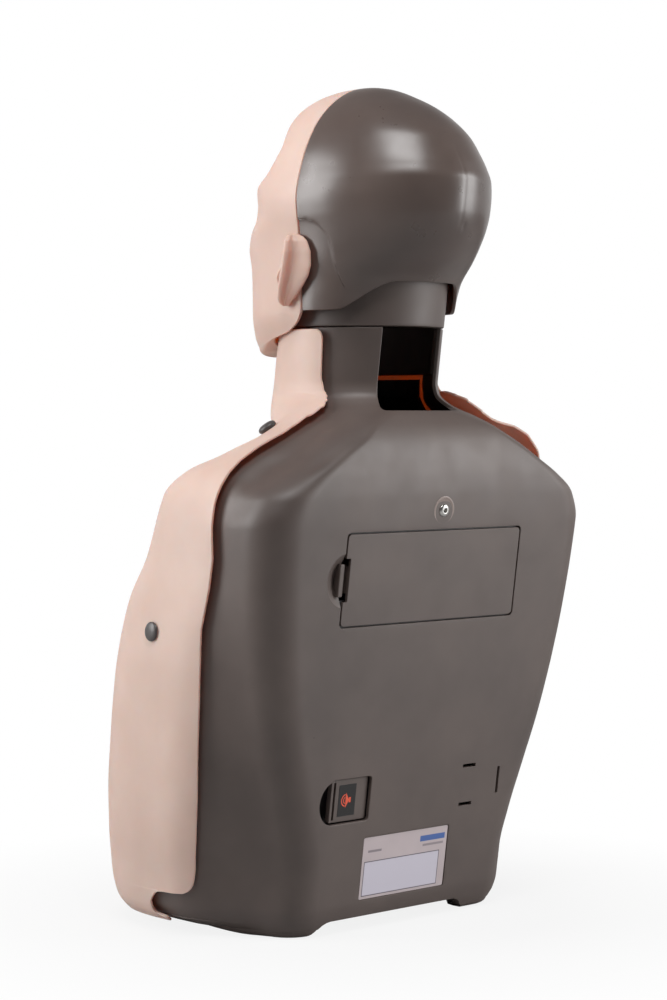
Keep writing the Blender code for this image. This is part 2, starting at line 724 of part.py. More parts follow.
# The lower edge drops to the floor ahead of the side flaps.
FRONT_DROP = (0.0088, 0.0138, 0.0220, 0.0330)
dropped = base.copy()
for i, z in enumerate(FRONT_DROP):
    dropped[i] = skin_row(z)[::-1]
skin_normals = grid_normals(base)
low_normals = grid_normals(dropped)
for j in range(columns):
    if abs(j - middle) / middle < 0.70:
        base[:, j] = dropped[:, j]
        skin_normals[:, j] = low_normals[:, j]
if skin_normals[8, middle, 1] > 0:
    skin_normals = -skin_normals
slack = np.clip((0.050 - base[:, :, 2:3]) / 0.012, 0.0, 1.0) * 0.0010
for j in range(columns):
    if 0.60 < abs(j - middle) / middle < 0.75:
        slack[:, j] *= 3.0
skin_inner = base + skin_normals * (SKIN_GAP + slack)
skin_outer = base + skin_normals * (SKIN_GAP + SKIN_WALL + slack)
chest_skin = sheet("chest_skin", skin_outer, skin_inner, SKIN_VINYL)
tidy(chest_skin)


# Head
def head_half(z):
    wide = smooth_table(HEAD, z, 1)
    back = smooth_table(HEAD, z, 2)
    front = smooth_table(HEAD, z, 3)
    return wide, back, front


def skirt_z(angle):
    """Lower edge of the head shell by the angle from the nape, in degrees."""
    t = min(max((abs(angle) - 24.0) / 38.0, 0.0), 1.0)
    t = t * t * (3 - 2 * t)
    return NAPE_Z + (SKIRT_Z - NAPE_Z) * t


HEAD_ROWS = 15


def head_shell_grid():
    rows = []
    for r in range(HEAD_ROWS):
        row = []
        for c in range(-HEAD_COLUMNS, HEAD_COLUMNS + 1):
            angle = 90.0 * c / HEAD_COLUMNS
            low = skirt_z(angle)
            share = math.sin(math.pi / 2 * r / (HEAD_ROWS - 1)) ** 0.9
            z = low + (HEAD_TOP_Z - 0.0004 - low) * share
            wide, back, front = head_half(z)
            a = math.radians(angle)
            if r == HEAD_ROWS - 1:
                wide, back, z = 0.0, 0.0, HEAD_TOP_Z
            row.append((wide * math.sin(a), HEAD_Y + back * math.cos(a), z))
        rows.append(row)
    return np.array(rows)


head_outer = head_shell_grid()[:, ::-1]
head_normals = grid_normals(head_outer)
if head_normals[5, HEAD_COLUMNS, 1] < 0:
    head_normals = -head_normals
head_normals[-1] = (0.0, 0.0, 1.0)
head_inner = head_outer - head_normals * HEAD_WALL
head_inner[:, 0, 1] = head_outer[:, 0, 1]
head_inner[:, -1, 1] = head_outer[:, -1, 1]
head_inner[0, :, 2] = head_outer[0, :, 2]
head_shell = sheet("head_shell", head_outer, head_inner, SHELL_PLASTIC)
tidy(head_shell)


def bump(x, z, x0, z0, width, height):
    return math.exp(-((x - x0) / width) ** 2 - ((z - z0) / height) ** 2)


def face_relief(x, z):
    """Forward relief of the face over the smooth head, calm and closed-eyed."""
    x = abs(x)
    nose_ridge = 0.013 * bump(x, z, 0, 0.512, 0.0085, 0.0170)
    nose_tip = 0.0165 * bump(x, z, 0, 0.4930, 0.0095, 0.0085)
    wings = 0.0060 * bump(x, z, 0.0125, 0.4895, 0.0065, 0.0060)
    brow = 0.0030 * bump(x, z, 0.022, 0.5470, 0.0240, 0.0065)
    socket = -0.0075 * bump(x, z, 0.0270, 0.5310, 0.0150, 0.0085)
    lid = 0.0040 * bump(x, z, 0.0285, 0.5290, 0.0110, 0.0058)
    cheek = 0.0020 * bump(x, z, 0.0400, 0.5030, 0.0160, 0.0130)
    lips = 0.0045 * bump(x, z, 0, 0.4690, 0.0190, 0.0042) + 0.0045 * bump(x, z, 0, 0.4560, 0.0170, 0.0042)
    fold = -0.0025 * bump(x, z, 0, 0.4470, 0.0200, 0.0040)
    chin = 0.0060 * bump(x, z, 0, 0.4370, 0.0170, 0.0080)
    return nose_ridge + nose_tip + wings + brow + socket + lid + cheek + lips + fold + chin


def jaw_z(angle):
    """Lower edge of the mask by the angle from the chin, in degrees."""
    a = min(abs(angle) / 90.0, 1.0)
    return CHIN_Z + (SKIRT_Z - 0.0010 - CHIN_Z) * (a ** 2.6)


MASK_ROWS = 18
MASK_COLUMNS = 12


def mask_grid(relief=1.0):
    rows = []
    for r in range(MASK_ROWS):
        row = []
        for c in range(-MASK_COLUMNS, MASK_COLUMNS + 1):
            angle = math.copysign(90.0 * abs(c / MASK_COLUMNS) ** 1.3, c)
            low = jaw_z(angle)
            share = r / (MASK_ROWS - 1)
            share = 0.62 * share + 0.38 * math.sin(math.pi / 2 * share)
            z = low + (HEAD_TOP_Z - 0.0004 - low) * share
            wide, back, front = head_half(z)
            a = math.radians(angle)
            power = 2 / 2.3
            x = wide * math.copysign(abs(math.sin(a)) ** power, a)
            y = HEAD_Y - HEAD_SPLIT - front * abs(math.cos(a)) ** power
            y -= relief * face_relief(x, z) * min(1.0, math.cos(a) * 2.2)
            if r == MASK_ROWS - 1:
                x, y, z = 0.0, HEAD_Y - HEAD_SPLIT, HEAD_TOP_Z
            row.append((x, y, z))
        rows.append(row)
    return np.array(rows)


mask_outer = mask_grid()
mask_normals = grid_normals(mask_outer)
if mask_normals[8, MASK_COLUMNS, 1] > 0:
    mask_normals = -mask_normals
mask_normals[-1] = (0.0, 0.0, 1.0)
plain = mask_grid(relief=0.35)
plain_normals = grid_normals(plain)
if plain_normals[8, MASK_COLUMNS, 1] > 0:
    plain_normals = -plain_normals
plain_normals[-1] = (0.0, 0.0, 1.0)
mask_inner = plain - plain_normals * MASK_WALL
mask_inner[:, 0, 1] = mask_outer[:, 0, 1]
mask_inner[:, -1, 1] = mask_outer[:, -1, 1]
face_mask = sheet("face_mask", mask_outer, mask_inner, SKIN_VINYL)
smooth_head = mask_grid(relief=0.0)
smooth_normals = grid_normals(smooth_head)
if smooth_normals[8, MASK_COLUMNS, 1] > 0:
    smooth_normals = -smooth_normals
smooth_normals[-1] = (0.0, 0.0, 1.0)
frame_gap = MASK_WALL + SKULL_GAP
skull_outer = smooth_head - smooth_normals * frame_gap
skull_inner = smooth_head - smooth_normals * (frame_gap + HEAD_WALL)
for grid in (skull_outer, skull_inner):
    grid[:, 0, 1] = mask_outer[:, 0, 1]
    grid[:, -1, 1] = mask_outer[:, -1, 1]
face_frame = sheet("face_frame", skull_outer[1::2], skull_inner[1::2], FRAME_PLASTIC)

for sign in (1, -1):
    ear = bmesh.new()
    bmesh.ops.create_icosphere(ear, subdivisions=2, radius=1.0)
    for v in ear.verts:
        x, y, z = v.co
        v.co = Vector((
            sign * (0.0735 + 0.0110 * x + 0.0030 * y),
            HEAD_Y - 0.0035 + 0.0165 * y + 0.0080 * z,
            0.4870 + 0.0262 * z,
        ))
    ear_obj = add_object("ear", mesh_from_bmesh("ear", ear), SKIN_VINYL)
    keep = box(
        "keep", (-0.2, HEAD_Y - HEAD_SPLIT - 0.0002, 0.40), (0.2, HEAD_Y + 0.05, 0.60), SKIN_VINYL,
    )
    cut(keep, box("outside", (0.0745, -0.2, 0.3), (0.3, 0.3, 0.7), SKIN_VINYL))
    cut(keep, box("outside2", (-0.3, -0.2, 0.3), (-0.0745, 0.3, 0.7), SKIN_VINYL))
    cut(ear_obj, keep)
    inner_side = box(
        "inner_side", (-0.0695, HEAD_Y - 0.1, 0.40), (0.0695, HEAD_Y + 0.1, 0.60), SKIN_VINYL,
    )
    cut(ear_obj, inner_side)
    join(face_mask, ear_obj)
mouth = prism(
    "mouth", circle_outline(1.0, 14), -0.30, -0.02, SKIN_VINYL,
    lambda co: Vector((co.x * MOUTH_SIZE[0], HEAD_Y + co.z, MOUTH_Z + co.y * MOUTH_SIZE[1])),
)
cut(face_mask, mouth)
tidy(face_mask)
mouth = prism(
    "mouth", circle_outline(1.0, 14), -0.30, -0.02, SKIN_VINYL,
    lambda co: Vector((co.x * MOUTH_SIZE[0], HEAD_Y + co.z, MOUTH_Z + co.y * MOUTH_SIZE[1])),
)
cut(face_frame, mouth)


def along_x(x, y, z):
    """Placement of a turned body whose axis runs along X through (y, z)."""
    return lambda co: Vector((x + co.z, y + co.x, z + co.y))


for sign in (1, -1):
    boss = turned(
        "boss", ((PIN_RADIUS + PIN_FIT, -0.0024), (0.0090, -0.0024), (0.0090, 0.0024), (PIN_RADIUS + PIN_FIT, 0.0024)),
        FRAME_PLASTIC, steps=16, place=along_x(sign * 0.0632, PIVOT_Y, PIVOT_Z),
    )
    join(face_frame, boss)
pin_hole = turned(
    "pin_hole", ((0, -0.09), (PIN_RADIUS + PIN_FIT, -0.09), (PIN_RADIUS + PIN_FIT, 0.09), (0, 0.09)),
    FRAME_PLASTIC, steps=16, place=along_x(0, PIVOT_Y, PIVOT_Z),
)
cut(face_frame, pin_hole)
tidy(face_frame)

# Neck tube, seated in the collar
TUBE_HEIGHTS = (0.4110, 0.4250, NECK_TOP_Z + 0.0003, NECK_TOP_Z + 0.0018, 0.4600, 0.4740, TUBE_TOP_Z)


def tube_ring(z, radius, steps=32):
    centre = panel_y(z) - NECK_AHEAD
    return [
        (radius * math.sin(2 * math.pi * i / steps), centre + radius * math.cos(2 * math.pi * i / steps), z)
        for i in range(steps)
    ]


tube_outer = np.array([
    tube_ring(z, TUBE_RADIUS if z > NECK_TOP_Z + 0.001 else TUBE_PLUG_RADIUS) for z in TUBE_HEIGHTS
])[:, ::-1]
tube_inner = np.array([
    tube_ring(z, (TUBE_PLUG_RADIUS if z < 0.450 else TUBE_RADIUS) - TUBE_WALL) for z in TUBE_HEIGHTS
])[:, ::-1]
neck_tube = sheet("neck_tube", tube_outer, tube_inner, SHELL_PLASTIC, closed=True)
cut(neck_tube, box(
    "rear_gap", (-WINDOW_HALF - 0.004, HEAD_Y, 0.38), (WINDOW_HALF + 0.004, 0.14, NECK_TOP_Z + 0.0004), SHELL_PLASTIC,
))
pin_hole = turned(
    "pin_hole", ((0, -0.09), (PIN_RADIUS + PIN_FIT, -0.09), (PIN_RADIUS + PIN_FIT, 0.09), (0, 0.09)),
    SHELL_PLASTIC, steps=16, place=along_x(0, PIVOT_Y, PIVOT_Z),
)
cut(neck_tube, pin_hole)
tidy(neck_tube)
neck_pin = turned(
    "neck_pin", ((0, -PIN_HALF), (PIN_RADIUS, -PIN_HALF), (PIN_RADIUS, PIN_HALF), (0, PIN_HALF)),
    STEEL, steps=16, place=along_x(0, PIVOT_Y, PIVOT_Z),
)


# Airway: a mouth tube in the head, a tube down the neck and a flat lung bag
mouth_tube = turned(
    "mouth_tube",
    ((0.0055, -0.0187), (0.0075, -0.0187), (0.0075, 0.0), (0.0055, 0.0)),
    BAG_FILM, steps=14,
    place=lambda co: Vector((co.x, HEAD_Y - 0.0685 + co.z, MOUTH_Z + co.y)),
)


def pipe(name, path, outer_radius, inner_radius, mat, steps=14):
    """A hollow round tube along a path of points."""
    path = [Vector(p) for p in path]
    outside, inside = [], []
    for i, p in enumerate(path):
        way = (path[min(i + 1, len(path) - 1)] - path[max(i - 1, 0)]).normalized()
        side = way.cross(Vector((0, 1, 0))).normalized()
        over = side.cross(way).normalized()
        ring = [
            side * math.cos(2 * math.pi * k / steps) + over * math.sin(2 * math.pi * k / steps)
            for k in range(steps)
        ]
        outside.append([tuple(p + r * outer_radius) for r in ring])
        inside.append([tuple(p + r * inner_radius) for r in ring])
    return sheet(name, np.array(outside), np.array(inside), mat, closed=True)


BAG_V = 0.0150
BAG_HALF = (0.0620, 0.0200)
BAG_W = -0.1500
airway_tube = pipe(
    "airway_tube",
    (
        (0, PANEL_Y - 0.1226, 0.4420), (0.0005, PANEL_Y - 0.1240, 0.4250),
        (0.0030, PANEL_Y - 0.1160, 0.3950), (0.0090, PANEL_Y - 0.1105, 0.3660),
        (0.0170, PANEL_Y - 0.1165, 0.3440), panel_point(0.0175, BAG_V + BAG_HALF[1] + 0.0100, BAG_W),
        panel_point(0.0175, BAG_V + BAG_HALF[1] + 0.0003, BAG_W),
    ),
    0.0070, 0.0054, BAG_FILM,
)
lung_bag = prism(
    "lung_bag", rounded_outline(BAG_HALF[0], BAG_HALF[1], 0.012, 4), BAG_W - 0.0055, BAG_W + 0.0055,
    BAG_FILM, on_panel(0.0, BAG_V),
)

# Chest compression: plate and stem, guide post and spring, on the panel's normal
PLATE_FACE = -0.1905
chest_plate = prism(
    "chest_plate", ellipse_on_panel(PLATE_SIZE[0], PLATE_SIZE[1]), PLATE_FACE - 0.0040, PLATE_FACE,
    FRAME_PLASTIC, on_panel(0.0, PRESS_V),
)
stem = turned(
    "stem",
    ((0, PLATE_FACE - 0.0010), (STEM_RADIUS, PLATE_FACE - 0.0010), (STEM_RADIUS, -0.0800), (0, -0.0800)),
    FRAME_PLASTIC, steps=20, place=on_panel(0.0, PRESS_V),
)
join(chest_plate, stem)
tidy(chest_plate)
guide_post = turned(
    "guide_post",
    (
        (POST_RADIUS - 0.0030, -SHELL_WALL - 0.0003), (0.0300, -SHELL_WALL - 0.0003), (0.0300, -0.0060),
        (POST_RADIUS, -0.0060), (POST_RADIUS, -0.1250), (POST_RADIUS - 0.0030, -0.1250),
    ),
    FRAME_PLASTIC, steps=20, place=on_panel(0.0, PRESS_V),
)
COIL_RADIUS = 0.0215
WIRE_RADIUS = 0.0011
COIL_TURNS = 8
COIL_STEPS = 10
coil_low = -0.0074
coil_high = PLATE_FACE + 0.0014
coil = bmesh.new()
rings = []
for i in range(COIL_TURNS * COIL_STEPS + 1):
    share = i / (COIL_TURNS * COIL_STEPS)
    a = 2 * math.pi * COIL_TURNS * share
    w = coil_low + (coil_high - coil_low) * share
    ring = []
    for k in range(5):
        b = 2 * math.pi * k / 5
        r = COIL_RADIUS + WIRE_RADIUS * math.cos(b)
        ring.append(coil.verts.new(panel_point(
            r * math.cos(a), PRESS_V + r * math.sin(a), w + WIRE_RADIUS * math.sin(b),
        )))
    rings.append(ring)
for low, high in zip(rings[:-1], rings[1:]):
    for k in range(5):
        coil.faces.new((low[k], low[(k + 1) % 5], high[(k + 1) % 5], high[k]))
coil.faces.new(rings[0])
coil.faces.new(rings[-1])
spring = add_object("press_spring", mesh_from_bmesh("press_spring", coil), STEEL)

# Battery compartment
TRAY_HALF = (0.0850, 0.0312)
TRAY_DEPTH = 0.0345
TRAY_WALL = 0.0020
TRAY_V = DOOR_CENTRE[1]
battery_tray = prism(
    "battery_tray",
    rounded_outline(DOOR_SIZE[0] / 2 + 0.0010, DOOR_SIZE[1] / 2 + 0.0022, 0.004, 2),
    -TRAY_DEPTH, -SHELL_WALL - 0.0004, DARK_PLASTIC, on_panel(DOOR_CENTRE[0], TRAY_V),
)
cut(battery_tray, prism(
    "bay", rounded_outline(TRAY_HALF[0], TRAY_HALF[1], 0.003, 2), -TRAY_DEPTH + TRAY_WALL, 0.01,
    DARK_PLASTIC, on_panel(DOOR_CENTRE[0], TRAY_V),
))
tidy(battery_tray)
CELL_W = -TRAY_DEPTH + TRAY_WALL + CELL_RADIUS + 0.0004


def along_u(u, v, w):
    return lambda co: panel_point(u + co.z, v + co.x, w + co.y)


number = 0
for row in (-0.5, 0.5):
    for k in (-1, 0, 1):
        number += 1
        facing = 1 if row < 0 else -1
        profile = (
            (0, -0.0245), (CELL_RADIUS, -0.0245), (CELL_RADIUS, 0.0225), (0.0100, 0.0232), (0.0036, 0.0232),
            (0.0036, 0.0250), (0, 0.0250),
        )
        if facing < 0:
            profile = tuple((r, -h) for r, h in profile)
        turned(
            f"battery_cell_{number}", profile, CELL_JACKET, steps=16,
            place=along_u(DOOR_CENTRE[0] + k * CELL_PITCH, TRAY_V + row * ROW_PITCH, CELL_W),
        )
for name, side in (("contact_left", 1), ("contact_right", -1)):
    prism(
        name, rounded_outline(0.0007, 0.0240, 0.0003, 1), CELL_W - 0.0090, CELL_W + 0.0090, BRASS,
        on_panel(DOOR_CENTRE[0] + side * (TRAY_HALF[0] - 0.0013), TRAY_V),
    )

# Battery door, hinged on its far edge, with its moulded latch tongue
DOOR_HINGE_U = DOOR_CENTRE[0] - DOOR_SIZE[0] / 2 - 0.0004
door_half = (DOOR_SIZE[0] / 2, DOOR_SIZE[1] / 2)
battery_door = prism(
    "battery_door", rounded_outline(door_half[0], door_half[1], 0.0032, 3), -DOOR_WALL, 0.0,
    SHELL_PLASTIC, on_panel(*DOOR_CENTRE),
)
cut(battery_door, prism(
    "notch", rounded_outline(0.0044, LATCH_NOTCH_HALF, 0.0004, 1), -0.02, 0.02, SHELL_PLASTIC,
    on_panel(LATCH_U, LATCH_CENTRE_V),
))
tongue = prism(
    "tongue", rounded_outline(0.0019, LATCH_HALF, 0.0005, 1), -0.0066, -0.0003, SHELL_PLASTIC,
    on_panel(LATCH_U + 0.0029, LATCH_CENTRE_V),
)
bridge = prism(
    "bridge", rounded_outline(0.0056, LATCH_HALF - 0.0005, 0.0004, 1), -0.0073, -0.0057, SHELL_PLASTIC,
    on_panel(LATCH_U - 0.0018, LATCH_CENTRE_V),
)
riser = prism(
    "riser", rounded_outline(0.0009, LATCH_HALF - 0.0010, 0.0003, 1), -0.0067, -0.0012, SHELL_PLASTIC,
    on_panel(LATCH_U - 0.0063, LATCH_CENTRE_V),
)
join(battery_door, riser)
join(tongue, bridge)
join(battery_door, tongue)
cut(battery_tray, prism(
    "latch_room", rounded_outline(0.0110, LATCH_HALF + 0.0020, 0.0005, 1), -0.0082, 0.01, DARK_PLASTIC,
    on_panel(LATCH_U - 0.0020, LATCH_CENTRE_V),
))
for v in (-0.018, 0.018):
    tab = prism(
        "tab", rounded_outline(0.0042, 0.0060, 0.0005, 1), -SHELL_WALL - 0.0024, -SHELL_WALL - 0.0008,
        SHELL_PLASTIC, on_panel(DOOR_CENTRE[0] - door_half[0] + 0.0008, v),
    )
    arm = prism(
        "arm", rounded_outline(0.0014, 0.0052, 0.0004, 1), -SHELL_WALL - 0.0020, -0.0010,
        SHELL_PLASTIC, on_panel(DOOR_CENTRE[0] - door_half[0] + 0.0030, v),
    )
    join(tab, arm)
    join(battery_door, tab)
    cut(battery_tray, prism(
        "tab_room", rounded_outline(0.0080, 0.0072, 0.0005, 1), -SHELL_WALL - 0.0085, 0.01,
        DARK_PLASTIC, on_panel(DOOR_CENTRE[0] - door_half[0] + 0.0022, v),
    ))
tidy(battery_door)
tidy(battery_tray)

# Screw in its cap
screw_cap = prism(
    "screw_cap", circle_outline(CAP_RADIUS, 24), -0.0010, -0.0001, CAP_PLASTIC, on_panel(*SCREW_SPOT),
)
cut(screw_cap, prism(
    "hole", circle_outline(SCREW_RADIUS + 0.0005, 20), -0.02, 0.02, CAP_PLASTIC, on_panel(*SCREW_SPOT),
))
shell_screw = turned(
    "shell_screw",
    (
        (0, -0.0180), (0.0016, -0.0180), (0.0016, -0.0010), (SCREW_RADIUS, -0.0010), (SCREW_RADIUS, 0.0000),
        (0.0030, 0.0012), (0.0014, 0.0014), (0.0014, 0.0002), (0, 0.0002),
    ),
    STEEL, steps=16, place=on_panel(*SCREW_SPOT),
)

# Click sound cover: a recessed clip-in cover with a spring tongue, hinged on its far edge
COVER_TOP = -0.0016
COVER_HALF = (SWITCH_SIZE[0] / 2 - 0.0008, SWITCH_SIZE[1] / 2 - 0.0008)
POCKET_BACK = -0.0125
pocket = prism(
    "click_pocket",
    rounded_outline(0.0300, 0.0215, 0.003, 2), POCKET_BACK - 0.0020, -SHELL_WALL - 0.0009, DARK_PLASTIC,
    on_panel(SWITCH_CENTRE[0] + 0.0045, SWITCH_CENTRE[1]),
)
cut(pocket, prism(
    "pocket_room", rounded_outline(0.0278, 0.0182, 0.003, 2), POCKET_BACK, 0.01, DARK_PLASTIC,
    on_panel(SWITCH_CENTRE[0] + 0.0045, SWITCH_CENTRE[1]),
))
tidy(pocket)
click_cover = prism(
    "click_cover", rounded_outline(COVER_HALF[0], COVER_HALF[1], 0.0018, 2), COVER_TOP - 0.0040, COVER_TOP,
    DARK_PLASTIC, on_panel(*SWITCH_CENTRE),
)
cut(click_cover, prism(
    "tongue_gap", rounded_outline(0.0021, COVER_HALF[1] - 0.0022, 0.0006, 1), -0.02, 0.02, DARK_PLASTIC,
    on_panel(SWITCH_CENTRE[0] + COVER_HALF[0] - 0.0036, SWITCH_CENTRE[1]),
))
cut(click_cover, prism(
    "icon_well", rounded_outline(0.0105, 0.0120, 0.0006, 1), COVER_TOP - 0.0012, 0.02, DARK_PLASTIC,
    on_panel(SWITCH_CENTRE[0] + 0.0006, SWITCH_CENTRE[1]),
))
tidy(click_cover)
click_icon = prism(
    "click_icon", rounded_outline(0.0100, 0.0115, 0.0004, 1), COVER_TOP - 0.00115, COVER_TOP - 0.0007,
    CONE_PAPER, on_panel(SWITCH_CENTRE[0] + 0.0006, SWITCH_CENTRE[1]),
)
label_plate = prism(
    "label_plate", rounded_outline(LABEL_SIZE[0] / 2, LABEL_SIZE[1] / 2, 0.0012, 2), -0.0006, -0.0001,
    PAPER, on_panel(*LABEL_CENTRE),
)

# Electronics behind the lower back
circuit_board = prism(
    "circuit_board", rounded_outline(0.0380, 0.0260, 0.001, 1), -0.0180, -0.0164, BOARD,
    on_panel(-0.0560, -0.1640),
)
for u, v, a, b, h in (
    (-0.0600, -0.1640, 0.0065, 0.0065, 0.0015), (-0.0400, -0.1560, 0.0040, 0.0025, 0.0030),
    (-0.0760, -0.1500, 0.0030, 0.0070, 0.0040),
):
    chip = prism("chip", rounded_outline(a, b, 0.0004, 1), -0.0182 - h, -0.0175, BOARD, on_panel(u, v))
    join(circuit_board, chip)
for u, v in ((-0.0900, -0.1420), (-0.0220, -0.1420), (-0.0900, -0.1860), (-0.0220, -0.1860)):
    leg = turned(
        "leg", ((0, -0.0170), (0.0022, -0.0170), (0.0022, -SHELL_WALL - 0.0003), (0, -SHELL_WALL - 0.0003)),
        BOARD, steps=8, place=on_panel(u, v),
    )
    join(circuit_board, leg)
tidy(circuit_board)
speaker = turned(
    "speaker",
    (
        (0, -0.0150), (0.0100, -0.0150), (0.0100, -0.0100), (0.0180, -0.0060), (0.0180, -SHELL_WALL - 0.0003),
        (0.0150, -SHELL_WALL - 0.0003), (0.0050, -0.0070), (0, -0.0070),
    ),
    CONE_PAPER, steps=20, place=on_panel(0.0100, -0.1500),
)

# Snap buttons of the skin, set square to it
BUTTON_SPOTS = (
    ("button_shoulder_left", 1, 0.3675, 0.0955, 0.096),
    ("button_shoulder_right", -1, 0.3675, 0.0955, 0.096),
    ("button_side_left", 1, 0.2235, None, 0.108),
    ("button_side_right", -1, 0.2235, None, 0.108),
)


def skin_probe(z, ahead):
    """Skin base surface at a height and a distance ahead of the panel."""
    points, rim = torso_half(z)
    off = panel_y(z) - points[:, 1]
    i = int(np.argmax(off >= ahead))
    t = (ahead - off[i - 1]) / (off[i] - off[i - 1])
    p = points[i - 1] + (points[i] - points[i - 1]) * t
    return np.array([p[0], p[1], z])


def skin_frame(z, ahead):
    p = skin_probe(z, ahead)
    along = skin_probe(z, ahead + 0.004) - skin_probe(z, ahead - 0.004)
    rise = skin_probe(z + 0.003, ahead) - skin_probe(z - 0.003, ahead)
    n = np.cross(rise, along)
    n /= np.linalg.norm(n)
    return (p, n) if n[0] > 0 else (p, -n)


for name, side, z, x_aim, ahead in BUTTON_SPOTS:
    p, n = skin_frame(z, ahead)
    p = Vector((side * p[0], p[1], p[2]))
    n = Vector((side * n[0], n[1], n[2]))
    turn = n.to_track_quat("Z", "Y").to_matrix()
    base_h = SKIN_GAP + SKIN_WALL + (0.0005 if x_aim else -0.0001)
    turned(
        name,
        (
            (0, base_h), (BUTTON_RADIUS - 0.0006, base_h), (BUTTON_RADIUS, base_h + 0.0006),
            (BUTTON_RADIUS, base_h + BUTTON_HEIGHT - 0.0010), (BUTTON_RADIUS - 0.0010, base_h + BUTTON_HEIGHT),
            (0, base_h + BUTTON_HEIGHT),
        ),
        BUTTON_PLASTIC, steps=20, place=lambda co, p=p, n=n, turn=turn: p + turn @ co,
    )


def set_origin(obj, point):
    """Move an object's origin onto its joint axis without moving its surface."""
    obj.data.transform(Matrix.Translation(-Vector(point)))
    obj.location = point


set_origin(battery_door, panel_point(DOOR_HINGE_U, 0.0, 0.0))
COVER_HINGE_U = SWITCH_CENTRE[0] - COVER_HALF[0] - 0.0003
set_origin(click_cover, panel_point(COVER_HINGE_U, SWITCH_CENTRE[1], COVER_TOP))
set_origin(click_icon, panel_point(COVER_HINGE_U, SWITCH_CENTRE[1], COVER_TOP))
set_origin(chest_plate, panel_point(0.0, PRESS_V, PLATE_FACE))
for obj in (head_shell, face_mask, face_frame, mouth_tube, neck_pin):
    set_origin(obj, (0.0, PIVOT_Y, PIVOT_Z))

total = 0
for obj in bpy.data.objects:
    obj.data.calc_loop_triangles()
    total += len(obj.data.loop_triangles)
    print(obj.name, len(obj.data.loop_triangles))
print("pieces", len(bpy.data.objects), "triangles", total)
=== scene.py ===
# %% [markdown]
# # A CPR training manikin, seen from behind
# The real object is a moulded bust: a grey-brown plastic back and skull, a soft vinyl chest skin
# and face in front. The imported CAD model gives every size. This lesson adds the finish: rounded
# edges, soft skin, a face, an ear, and the materials.

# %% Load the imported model
import math

import bmesh
import bpy
import numpy as np
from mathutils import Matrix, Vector, noise


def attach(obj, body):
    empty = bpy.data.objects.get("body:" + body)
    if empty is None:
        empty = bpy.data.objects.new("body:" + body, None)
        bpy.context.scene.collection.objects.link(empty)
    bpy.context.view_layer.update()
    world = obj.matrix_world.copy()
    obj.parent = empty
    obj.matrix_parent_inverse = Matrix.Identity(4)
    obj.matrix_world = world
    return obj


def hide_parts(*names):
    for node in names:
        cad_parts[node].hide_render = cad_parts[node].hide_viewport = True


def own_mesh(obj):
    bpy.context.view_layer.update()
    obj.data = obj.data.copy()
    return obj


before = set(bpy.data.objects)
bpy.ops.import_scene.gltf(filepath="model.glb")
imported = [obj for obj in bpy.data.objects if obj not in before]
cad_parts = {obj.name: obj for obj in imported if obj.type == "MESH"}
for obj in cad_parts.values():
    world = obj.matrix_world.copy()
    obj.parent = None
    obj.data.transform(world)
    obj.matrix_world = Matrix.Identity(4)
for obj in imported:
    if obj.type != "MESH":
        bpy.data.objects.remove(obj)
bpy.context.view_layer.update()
print("pieces of the model:", len(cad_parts))

# %% [markdown]
# The camera comes first, because everything is judged through it. It stands behind the manikin's
# left shoulder, almost level, with a long lens, so the lines of the back hardly converge.

# %% Camera
CAMERA_AT = (1.3218, 1.3853, 0.3780)
# Degrees: the turn from the world's -Y axis, and how far the camera looks down.
CAMERA_TURN, CAMERA_DOWN = 136.5, 1.88
FOCAL_MM, SENSOR_MM = 90.0, 36.0


def put(name, data):
    """A new object with this data, in the scene."""
    obj = bpy.data.objects.new(name, data)
    bpy.context.scene.collection.objects.link(obj)
    return obj


camera_data = bpy.data.cameras.new("camera")
camera_data.lens = FOCAL_MM
camera_data.sensor_fit = "VERTICAL"
camera_data.sensor_height = SENSOR_MM
camera_data.clip_start = 0.05
camera = put("camera", camera_data)
camera.location = CAMERA_AT
camera.rotation_euler = (math.radians(90.0 - CAMERA_DOWN), 0.0, math.radians(CAMERA_TURN))
bpy.context.scene.camera = camera
bpy.context.scene.view_settings.view_transform = "Standard"
print("camera to the middle of the bust:", round(math.hypot(*CAMERA_AT[:2]), 2), "m")

# %% [markdown]
# Materials are node trees. One function turns a hex colour into the linear values that Blender
# works in, and one function adds a node with its settings and its links. All patterns read Object
# coordinates, which are metres here, so a pattern's scale is one over its real size. A material
# begins with its noises, and ends when its colour, gloss and bumps are linked to its shader.


# %% Helpers for node trees
def linear(hex_colour):
    """Linear RGBA values of an sRGB hex colour."""
    parts = [int(hex_colour[i:i + 2], 16) / 255 for i in (1, 3, 5)]
    return [c / 12.92 if c <= 0.04045 else ((c + 0.055) / 1.055) ** 2.4 for c in parts] + [1.0]


def add(tree, kind, *inputs, out=0, stops=(), **named):
    """Adds a node of a kind and gives one of its outputs, or all of them when out is None.

    Inputs come in order, by name, or as iN for number N, each a value or a link. Names in small
    letters are the node's properties. The stops are a colour ramp's (place, hex colour) pairs."""
    node = tree.nodes.new(kind)
    spots = list(enumerate(inputs))
    for key, value in named.items():
        if key[0] == "i" and key[1:].isdigit():
            spots.append((int(key[1:]), value))
        elif key[0].isupper():
            spots.append((key.replace("_", " "), value))
        else:
            setattr(node, key, value)
    for spot, value in spots:
        if isinstance(value, bpy.types.NodeSocket):
            tree.links.new(value, node.inputs[spot])
        else:
            node.inputs[spot].default_value = value
    for i, (place, colour) in enumerate(stops):
        node.color_ramp.elements[i].position = place
        node.color_ramp.elements[i].color = linear(colour)
    return node.outputs if out is None else node.outputs[out]


